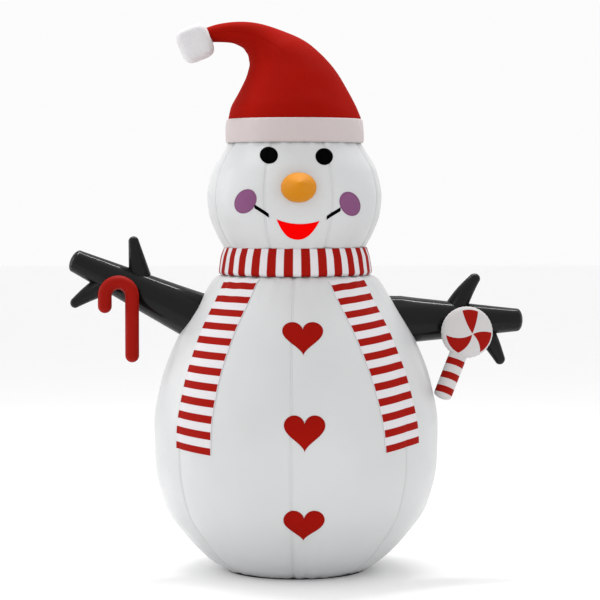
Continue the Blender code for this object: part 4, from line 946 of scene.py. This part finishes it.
def make_lollipop():
    """The lollipop's disc and its stick, in front of the right arm."""
    depth = -(arm_radius("right", DISC_X, ARMS["right"][1].z) + DISC_HALF + LIFT)
    centre = Vector((DISC_X, depth, DISC_Z))
    t = np.linspace(math.pi / 2, -math.pi * 0.42, 60)
    flat = np.abs(np.sin(t)) ** 0.8 * np.sign(t)
    profile = np.stack([DISC_RADIUS * np.clip(np.cos(t), 0, 1) ** 0.75, DISC_HALF * flat], -1)[1:]
    sides = 160
    turns = circle(sides)
    gather = 0.0006 * np.cos(turns * 40 + np.sin(turns * 7))
    rows = []
    for r, z in profile:
        rim = smoothstep(0.75, 1.0, r / DISC_RADIUS) * (0.35 + 0.65 * (abs(z) / DISC_HALF < 0.75))
        reach = r + gather * rim - 0.0018 * bell(z, 0.0022)
        rows.append(np.stack([reach * np.cos(turns), reach * np.sin(turns), np.full(sides, z)], -1))
    rows = np.array(rows)
    face = np.concatenate([rows, rows[:, :1]], 1)[..., :2]
    place = Matrix.Translation(centre) @ Matrix.Rotation(math.pi / 2, 4, "X")
    cloth = fabric("candy_swirl", CANDY_WHITE, 0.5, shine=0.05, creases=0.0006, pattern=swirl, vary=0.02)
    disc = piece("disc_fabric", grid("disc_fabric", rows, uv=face, foot=(0, 0, DISC_HALF)), cloth,
                 "lollipop_disc", place)
    lean = math.radians(STICK_LEAN)
    axis = np.array([-math.sin(lean), 0, -math.cos(lean)])
    start = np.array(centre) + axis * (DISC_RADIUS - STICK_INSIDE)
    length = STICK_LENGTH
    dome = STICK_RADIUS * 0.5
    s = np.linspace(0, length - dome, 60)
    cap = np.linspace(0, math.pi / 2, 10)[1:-1]
    along = np.concatenate([s, length - dome + dome * np.sin(cap)])
    radius = np.concatenate([np.full(60, STICK_RADIUS), STICK_RADIUS * np.cos(cap)])
    around = circle(72)
    gather = 0.012 * np.cos(around * 12 + np.sin(around * 5)) * np.exp(-along / 0.02)[:, None]
    radius = radius[:, None] * (1 + gather) - 0.0010 * bell(np.sin(around), 0.09)
    over = np.cross(axis, [0, 1.0, 0])
    points = (start + axis * along[:, None, None] + over * (radius * np.cos(around))[..., None]
              + np.array([0, 1.0, 0]) * (radius * (0.42 + 0.58 * smoothstep(0, 0.05, along))[:, None]
                                         * np.sin(around))[..., None])

    def rings(f, base):
        first, pitch, wide = 0.0345, 0.0640, 0.0300
        place = f.minus(f.v, first)
        stripe = f.math("LESS_THAN", f.math("FRACT", f.over(f.plus(place, 10 * pitch), pitch)), wide / pitch)
        inside = f.times(f.math("GREATER_THAN", place, 0.0), f.math("LESS_THAN", place, pitch * 2 + wide))
        return f.mix(f.times(stripe, inside), base, shade(CANDY_RED, 1.0))
    cloth = fabric("stick_striped", CANDY_WHITE, 0.5, shine=0.05, creases=0.0006, pattern=rings, vary=0.02)
    stick = piece("stick_fabric", grid("stick_fabric", points, tip=start + axis * length), cloth,
                  "lollipop_stick")


make_cane()
make_lollipop()


# ---------------------------------------------------------------- blower
def ring_wire(radius, z, wide, thick, steps=120):
    """A flat ring with rounded edges, about the Z axis."""
    corner = min(wide, thick) * 0.3
    w, h = wide / 2, thick / 2
    section = []
    for cx, cz, start in ((w - corner, h - corner, 0), (-w + corner, h - corner, 90),
                          (-w + corner, -h + corner, 180), (w - corner, -h + corner, 270)):
        section += [(cx + corner * math.cos(math.radians(start + a)),
                     cz + corner * math.sin(math.radians(start + a))) for a in (0, 30, 60, 90)]
    section = [(radius + x, z + y) for x, y in section]
    return turned("ring", section + section[:1], steps)


def bar(size, centre, turn=0.0, bevel=0.0006, tilt=0.0):
    """A bar with rounded edges, turned about Z."""
    bm = bmesh.new()
    bmesh.ops.create_cube(bm, size=1.0)
    bmesh.ops.scale(bm, vec=size, verts=bm.verts)
    bmesh.ops.bevel(bm, geom=list(bm.edges), offset=min(bevel, min(size) * 0.3), segments=2, affect="EDGES")
    mesh = bpy.data.meshes.new("bar")
    bm.to_mesh(mesh)
    bm.free()
    mesh.uv_layers.new(name="metres")
    mesh.transform(Matrix.Rotation(turn, 4, "Z") @ Matrix.Translation(centre) @ Matrix.Rotation(tilt, 4, "X"))
    return mesh


def guard(name, node, z, edges, ribs, rib, finish, thick=0.003):
    """A round guard: a hub disc, rings and ribs."""
    fit = BLOWER_RADIUS - BLOWER_WALL - GUARD_GAP
    meshes = [turned("hub", [(0.0, z + thick / 2), (edges[0] + rib / 2 - 0.0008, z + thick / 2),
                             (edges[0] + rib / 2, z + thick / 4), (edges[0] + rib / 2, z - thick / 2),
                             (0.0, z - thick / 2)])]
    meshes += [ring_wire(r, z, rib, thick) for r in edges[1:-1]]
    rim = fit - (edges[-1] - rib / 2)
    meshes.append(ring_wire(fit - rim / 2, z, rim, thick))
    reach = fit - 0.001 - edges[0]
    meshes += [bar((reach, rib, thick * 0.96), (edges[0] + reach / 2, 0, z), 2 * math.pi * (k + 0.5) / ribs)
               for k in range(ribs)]
    piece(name, merged(name, meshes), finish, node, blower_place(), sharp=35)


def make_blower():
    place = blower_place()
    outer, inner, back = BLOWER_RADIUS, BLOWER_RADIUS - BLOWER_WALL, -BLOWER_DEPTH
    low, high = BLOWER_LIFT, BLOWER_LIFT + FLANGE_THICK
    black = moulded("moulded_black", (0.020, 0.020, 0.022), 0.42)
    grey = moulded("moulded_grey", GREY, 0.45)
    steel = moulded("steel", STEEL, 0.30, metallic=1.0, grain=0.00006, brushed=(1, 1, 8))
    soft = 0.0008
    profile = [(FLANGE_RADIUS - soft, high), (FLANGE_RADIUS, high - soft), (FLANGE_RADIUS, low + soft),
               (FLANGE_RADIUS - soft, low), (outer + soft, low), (outer, low - soft), (outer, -0.040),
               (outer, back + soft), (outer - soft, back), (inner, back), (inner, 0.0), (inner, high - soft),
               (inner + soft, high), (FLANGE_RADIUS - 0.012, high), (FLANGE_RADIUS - 0.0115, high + 0.0012),
               (FLANGE_RADIUS - 0.0095, high + 0.0012), (FLANGE_RADIUS - 0.009, high)]
    meshes = [turned("housing", profile + profile[:1], 144)]
    for k in range(SCREWS):      # round the flange
        turn = 2 * math.pi * (k + 0.5) / SCREWS
        screw = turned("screw", [(0.0, high + 0.0016), (0.0022, high + 0.0015), (0.0032, high + 0.0006),
                                 (0.0034, high - 0.001)], 20)
        at = (SCREW_CIRCLE * math.cos(turn), SCREW_CIRCLE * math.sin(turn), 0)
        meshes.append(moved(screw, Matrix.Translation(at)))
    piece("blower_shell", merged("blower_shell", meshes), black, "blower_housing", place,
          sharp=35)
    guard("grille", "inlet_grille", high - 0.003, [0.020, 0.041, 0.062, 0.082], 6, 0.004, black)
    guard("guard_inside", "outlet_guard", back + 0.004, [0.020, 0.050, 0.081], 6, 0.005, black)
    gland_y = (FLANGE_RADIUS + outer) / 2
    rubber = moulded("rubber_black", (0.012, 0.012, 0.013), 0.7, grain=0.0002)
    profile = [(0.0030, low + 0.0140), (0.0060, low + 0.0140), (0.0062, low + 0.0120), (0.0070, low + 0.0116),
               (0.0070, low + 0.0100), (0.0076, low + 0.0096), (0.0076, low + 0.0080), (0.0085, low + 0.0074),
               (0.0085, high + 0.0006), (0.0044, high + 0.0006), (0.0044, low - 0.004), (0.0030, low - 0.004)]
    piece("gland", turned("gland", profile + profile[:1], 48), rubber, "power_gland",
          place @ Matrix.Translation((0, gland_y, 0)), sharp=40)
    cuff_rows = []
    turns = circle(160)
    for share in np.linspace(0, 1, 26):
        r = outer + 0.0015 + 0.0009 * np.cos(turns * 26) * math.sin(math.pi * share)
        r = r + 0.0012 * bell(share - 0.5, 0.1)
        cuff_rows.append(np.stack([r * np.cos(turns), r * np.sin(turns),
                                   np.full(160, low - 0.0006 - CUFF_LENGTH * share)], -1))
    cuff = piece("port_cuff", grid("port_cuff", np.array(cuff_rows)), shell, "port_sleeve",
                 place)

    radius, m_low, m_high = 0.026, -0.078, -0.036
    profile = [(0.0, m_high), (0.008, m_high), (0.0085, m_high - 0.001), (0.018, m_high - 0.001),
               (0.0185, m_high), (radius - 0.003, m_high), (radius - 0.0008, m_high - 0.0012),
               (radius, m_high - 0.003)]
    for k in range(LAMINATIONS):      # of the stator
        z = m_high - 0.006 - k * 0.0042
        profile += [(radius, z), (radius - 0.0006, z - 0.0004), (radius - 0.0006, z - 0.0012),
                    (radius, z - 0.0016)]
    profile += [(radius, m_low + 0.003), (radius - 0.0008, m_low + 0.0012), (radius - 0.003, m_low),
                (0.0, m_low)]
    piece("motor_can", turned("motor_can", profile, 72), steel, "motor", place, sharp=40)
    fit, z = inner - GUARD_GAP, -0.060
    meshes = [ring_wire(radius + 0.0028, z + 0.002, 0.0044, 0.004)]
    meshes += [bar((fit - radius - 0.003, 0.009, 0.0032), ((fit + radius + 0.003) / 2, 0, z + 0.002),
                   2 * math.pi * k / 3) for k in range(3)]
    piece("bracket", merged("bracket", meshes), grey, "motor_bracket", place, sharp=35)
    s_low, s_high = m_high + 0.0006, -0.004
    profile = [(0.0, s_high), (0.0022, s_high), (0.003, s_high - 0.0008), (0.003, s_low), (0.0, s_low)]
    piece("shaft", turned("shaft", profile, 40), steel, "impeller_shaft", place,
          body="impeller_body", sharp=40)
    hub_low, hub_high, hub, reach = -0.030, -0.006, 0.016, inner - 0.004
    profile = [(0.0036, hub_high), (hub - 0.0015, hub_high), (hub - 0.0004, hub_high - 0.0004),
               (hub, hub_high - 0.0015), (hub, hub_low), (0.0036, hub_low)]
    meshes = [turned("hub", profile + profile[:1], 84)]
    for k in range(BLADES):      # swept blades, thicker at the root
        rows = []
        for share in np.linspace(0, 1, 18):
            r = hub - 0.003 + (reach - hub + 0.003) * share
            pitch = math.radians(40)
            chord = 0.0100
            curl = 0.0010 * math.sin(math.pi * share)
            thick = 0.0011 - 0.0003 * share
            ring = []
            for a in np.linspace(0, 2 * math.pi, 16, endpoint=False):
                y, t = chord * math.cos(a), thick * math.sin(a) + curl
                ring.append((r, y * math.cos(pitch) - t * math.sin(pitch),
                             (hub_low + hub_high) / 2 + y * math.sin(pitch) + t * math.cos(pitch)))
            rows.append(ring)
        rows = np.array(rows)
        blade = grid("blade", rows, tip=rows[-1].mean(0), foot=rows[0].mean(0))
        meshes.append(moved(blade, Matrix.Rotation(2 * math.pi * k / BLADES, 4, "Z")))
    piece("fan", merged("fan", meshes), grey, "impeller", place, body="impeller_body",
          sharp=35)


make_blower()


# ---------------------------------------------------------------- zip, webbing and rings
def circle_through(points):
    (x1, y1), (x2, y2), (x3, y3) = points
    d = 2 * (x1 * (y2 - y3) + x2 * (y3 - y1) + x3 * (y1 - y2))
    s1, s2, s3 = x1 * x1 + y1 * y1, x2 * x2 + y2 * y2, x3 * x3 + y3 * y3
    cx = (s1 * (y2 - y3) + s2 * (y3 - y1) + s3 * (y1 - y2)) / d
    cy = (s1 * (x3 - x2) + s2 * (x1 - x3) + s3 * (x2 - x1)) / d
    return cx, cy, math.hypot(x1 - cx, y1 - cy)


def zip_frame():
    """The zip's frame: X points straight out through the seam, Z up, at the centre of the zip's arc."""
    azimuth = BODY_FIRST_SEAM + ZIP_SEAM * 360.0 / BODY_GORES
    heights = (ZIP_LOW, (ZIP_LOW + ZIP_HIGH) / 2, ZIP_HIGH)
    points = [(float(BODY.radius(z)) * (1 - CREASE), z) for z in heights]
    centre_r, centre_z, arc = circle_through(points)
    angle = math.radians(azimuth)
    out = Vector((math.sin(angle), -math.cos(angle), 0))
    place = (Matrix.Translation(out * centre_r + Vector((0, 0, centre_z)))
             @ Matrix.Rotation(math.atan2(out.y, out.x), 4, "Z"))
    low, high = [math.atan2(z - centre_z, r - centre_r) for r, z in (points[0], points[-1])]
    return place, arc, low, high


def make_zip():
    place, arc, low, high = zip_frame()
    strap, teeth = webbing("zip_webbing", (0.022, 0.022, 0.024)), moulded("zip_teeth", GREY, 0.4)
    base = LIFT + 0.001
    across = np.array([-1, -0.985, -0.96, -0.93, -0.90, -0.6, -0.28, -0.24, 0.24, 0.28, 0.6, 0.90, 0.93, 0.96,
                       0.985, 1])
    drop = np.array([0.0012, 0.0004, 0.0, 0.0004, 0.0, 0, 0, 0.0003, 0.0003, 0, 0, 0, 0.0004, 0, 0.0004,
                     0.0012])
    steps = 160
    rows, uv = [], []
    for k in range(steps + 1):
        angle = low + (high - low) * k / steps
        ripple = 0.0003 * math.sin(k * 0.9)
        reach = arc + base + 0.001 - drop + ripple * np.abs(across)
        rows.append(np.stack([reach * math.cos(angle), across * ZIP_TAPE_WIDTH / 2, reach * math.sin(angle)],
                             -1))
        uv.append(np.stack([across * ZIP_TAPE_WIDTH / 2, np.full(len(across), (angle - low) * arc)], -1))
    uv = np.array(uv)
    tape = piece("zip_tape_cloth", grid("zip_tape_cloth", np.array(rows), wrap=False, uv=uv), strap,
                 "zip_tape", place)
    chain = base + 0.001 + 0.0006
    margin = 0.010 / arc
    meshes, count = [], int((high - low - 2 * margin) * arc / 0.0030)
    for k in range(count):
        angle = low + margin + (high - low - 2 * margin) * (k + 0.5) / count
        side = 1 if k % 2 else -1
        tooth = bar((0.0023, 0.0042, 0.0021), (arc + chain + 0.00125, side * 0.0011, 0), bevel=0.0004)
        meshes.append(moved(tooth, Matrix.Rotation(-angle, 4, "Y")))
    for end in (low + margin, high - margin):
        stop = bar((0.0025, ZIP_CHAIN_WIDTH, 0.004), (arc + chain + 0.00125, 0, 0), bevel=0.0005)
        meshes.append(moved(stop, Matrix.Rotation(-end, 4, "Y")))
    piece("zip_teeth", merged("zip_teeth", meshes), teeth, "zip_chain", place, sharp=40)


def make_stake_loops():
    strap = webbing("strap_black", STRAP)
    length, width, height = STAKE_LOOP
    for number, azimuth in enumerate(STAKE_AZIMUTHS, 1):
        half = width / 2
        start = float(BODY.radius(0.001 + height)) + LIFT
        bend = [(start + length - half + half * math.cos(t), half * math.sin(t))
                for t in np.linspace(-math.pi / 2, math.pi / 2, 40)]
        sides = [(x, -half) for x in np.linspace(start - 0.012, bend[0][0], 14)[:-1]]
        path = np.array(sides + bend + [(x, half) for x in np.linspace(bend[-1][0], start - 0.012, 14)[1:]])
        share = np.linspace(0, 1, 15)
        selvedge = 0.0004 * (np.abs(share * 2 - 1) > 0.85)
        rows = [[(x, y * (1 + e / half), 0.001 + height * s) for x, y in path] for s,
                e in zip(share, selvedge)]
        run = run_along(path)
        mesh = grid("stake_strap", rows, wrap=False, uv=chart(run, share * height))
        loop = piece("stake_strap_%d" % number, mesh, strap, "stake_loop_%d" % number,
                     Matrix.Rotation(math.radians(azimuth - 90), 4, "Z"))
        solidify(loop, 0.0013)


def make_tethers():
    strap = webbing("tab_black", STRAP)
    for name, azimuth in TETHER_AZIMUTHS:
        foot = BODY.point(azimuth, TETHER_Z, LIFT)
        out = Vector(BODY.point(azimuth, TETHER_Z, 0.1) - foot).normalized()
        angle = math.radians(azimuth)
        along = Vector((math.cos(angle), math.sin(angle), 0))
        place = Matrix.Translation(foot) @ Matrix((out, along, out.cross(along))).transposed().to_4x4()
        turn = 0.002 + 0.0022
        path = [(-0.0026, 0.052), (-0.0026, 0.046), (-0.0020, 0.040), (-0.0014, 0.026), (-0.0004, 0.014),
                (0.0, 0.006)]
        path += [(turn + turn * math.cos(t), turn * math.sin(t))
                 for t in np.linspace(math.pi, math.pi + math.radians(290), 30)]
        path += [(0.0030, 0.008), (0.0016, 0.014), (0.0003, 0.026), (-0.0004, 0.038), (-0.0008, 0.046)]
        path = catmull(path, 120)
        share = np.linspace(-1, 1, 15)
        rows = [[(x, s * TAB_HALF_WIDE, z) for x, z in path] for s in share]
        run = run_along(path)
        uv = chart(run, share * TAB_HALF_WIDE)
        tab = piece("tab_strap_" + name, grid("tab_strap", rows, wrap=False, uv=uv), strap,
                    "tether_tab_" + name, place)
        solidify(tab, 0.0011, offset=0.0)


make_zip()
make_stake_loops()
make_tethers()

# The small moulded and metal parts stay as their CAD nodes, with their own finishes
steel = moulded("ring_steel", STEEL, 0.28, metallic=1.0, grain=0.00005)
lead = moulded("lead_black", (0.015, 0.015, 0.016), 0.5)
loop_strap = webbing("loop_strap", STRAP)
lamp = moulded("lamp_clear", (0.78, 0.80, 0.76), 0.2)
lamp.node_tree.nodes["Principled BSDF"].inputs["Transmission Weight"].default_value = 0.8
kept = [(n, steel, "steel") for n in ("zip_slider", "zip_pull", "tether_ring_left", "tether_ring_right")]
kept += [("led_cable", lead, "gland_rubber")]
kept += [("led_loop_%d" % k, loop_strap, "webbing_black") for k in (1, 2, 3)]
kept += [("led_lamp_%d" % k, lamp, "lamp_clear") for k in (1, 2, 3, 4)]
for node, finish, slot_name in kept:
    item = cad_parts[node]
    item.data.materials.clear()
    item.data.materials.append(finish)
    soft = item.modifiers.new("soft_edge", "BEVEL")
    soft.width, soft.segments, soft.limit_method = 0.0003, 2, "ANGLE"


# ---------------------------------------------------------------- camera, light and floor
CAMERA_AZIMUTH, CAMERA_DISTANCE, CAMERA_HEIGHT = -2.7, 10.0, 1.66
CAMERA_SIDE, CAMERA_AIM_HEIGHT, CAMERA_LENS = 0.0175, 1.179, 137.4


def make_camera():
    turn = math.radians(CAMERA_AZIMUTH)
    side = Vector((math.cos(turn), math.sin(turn), 0)) * CAMERA_SIDE
    data = bpy.data.cameras.new("camera")
    data.lens, data.sensor_width = CAMERA_LENS, 36.0
    camera = bpy.data.objects.new("camera", data)
    camera.location = side + Vector((math.sin(turn) * CAMERA_DISTANCE, -math.cos(turn) * CAMERA_DISTANCE,
                                     CAMERA_HEIGHT))
    aim = side + Vector((0, 0, CAMERA_AIM_HEIGHT))
    camera.rotation_euler = (aim - camera.location).to_track_quat("-Z", "Y").to_euler()
    bpy.context.scene.collection.objects.link(camera)
    bpy.context.scene.camera = camera


def area_light(name, at, aim, size, power):
    data = bpy.data.lights.new(name, "AREA")
    data.shape, data.energy = "RECTANGLE", power
    data.size, data.size_y = size
    light = bpy.data.objects.new(name, data)
    light.location = at
    light.rotation_euler = (Vector(aim) - Vector(at)).to_track_quat("-Z", "Y").to_euler()
    bpy.context.scene.collection.objects.link(light)


def make_studio():
    area_light("key", (-4.2, -5.0, 4.6), (0, 0, 1.2), (2.6, 2.6), 36)
    area_light("fill", (5.0, -4.5, 2.6), (0, 0, 1.1), (3.0, 3.0), 15)
    area_light("top", (-0.2, 1.2, 5.2), (0, 0, 1.2), (5.0, 0.3), 190)
    area_light("left", (-5.5, 1.5, 2.4), (0, 0, 1.2), (0.8, 3.5), 60)
    world = bpy.data.worlds.new("studio")
    world.use_nodes = True
    world.node_tree.nodes["Background"].inputs["Color"].default_value = (1.0, 1.0, 1.0, 1.0)
    world.node_tree.nodes["Background"].inputs["Strength"].default_value = 0.97
    bpy.context.scene.world = world
    mesh = bpy.data.meshes.new("floor")
    mesh.from_pydata([(-40, -40, 0), (40, -40, 0), (40, 40, 0), (-40, 40, 0)], [], [(0, 1, 2, 3)])
    floor = bpy.data.objects.new("floor", mesh)
    floor.location.z = -0.0005
    bpy.context.scene.collection.objects.link(floor)
    finish = Finish("floor_pale", 0.6)
    finish.color(finish.mix(finish.noise(2.0, 2.0), (0.95, 0.95, 0.95, 1.0), (0.97, 0.97, 0.97, 1.0)))
    mesh.materials.append(finish.done())


make_camera()
make_studio()
bpy.context.scene.view_settings.view_transform = "Standard"
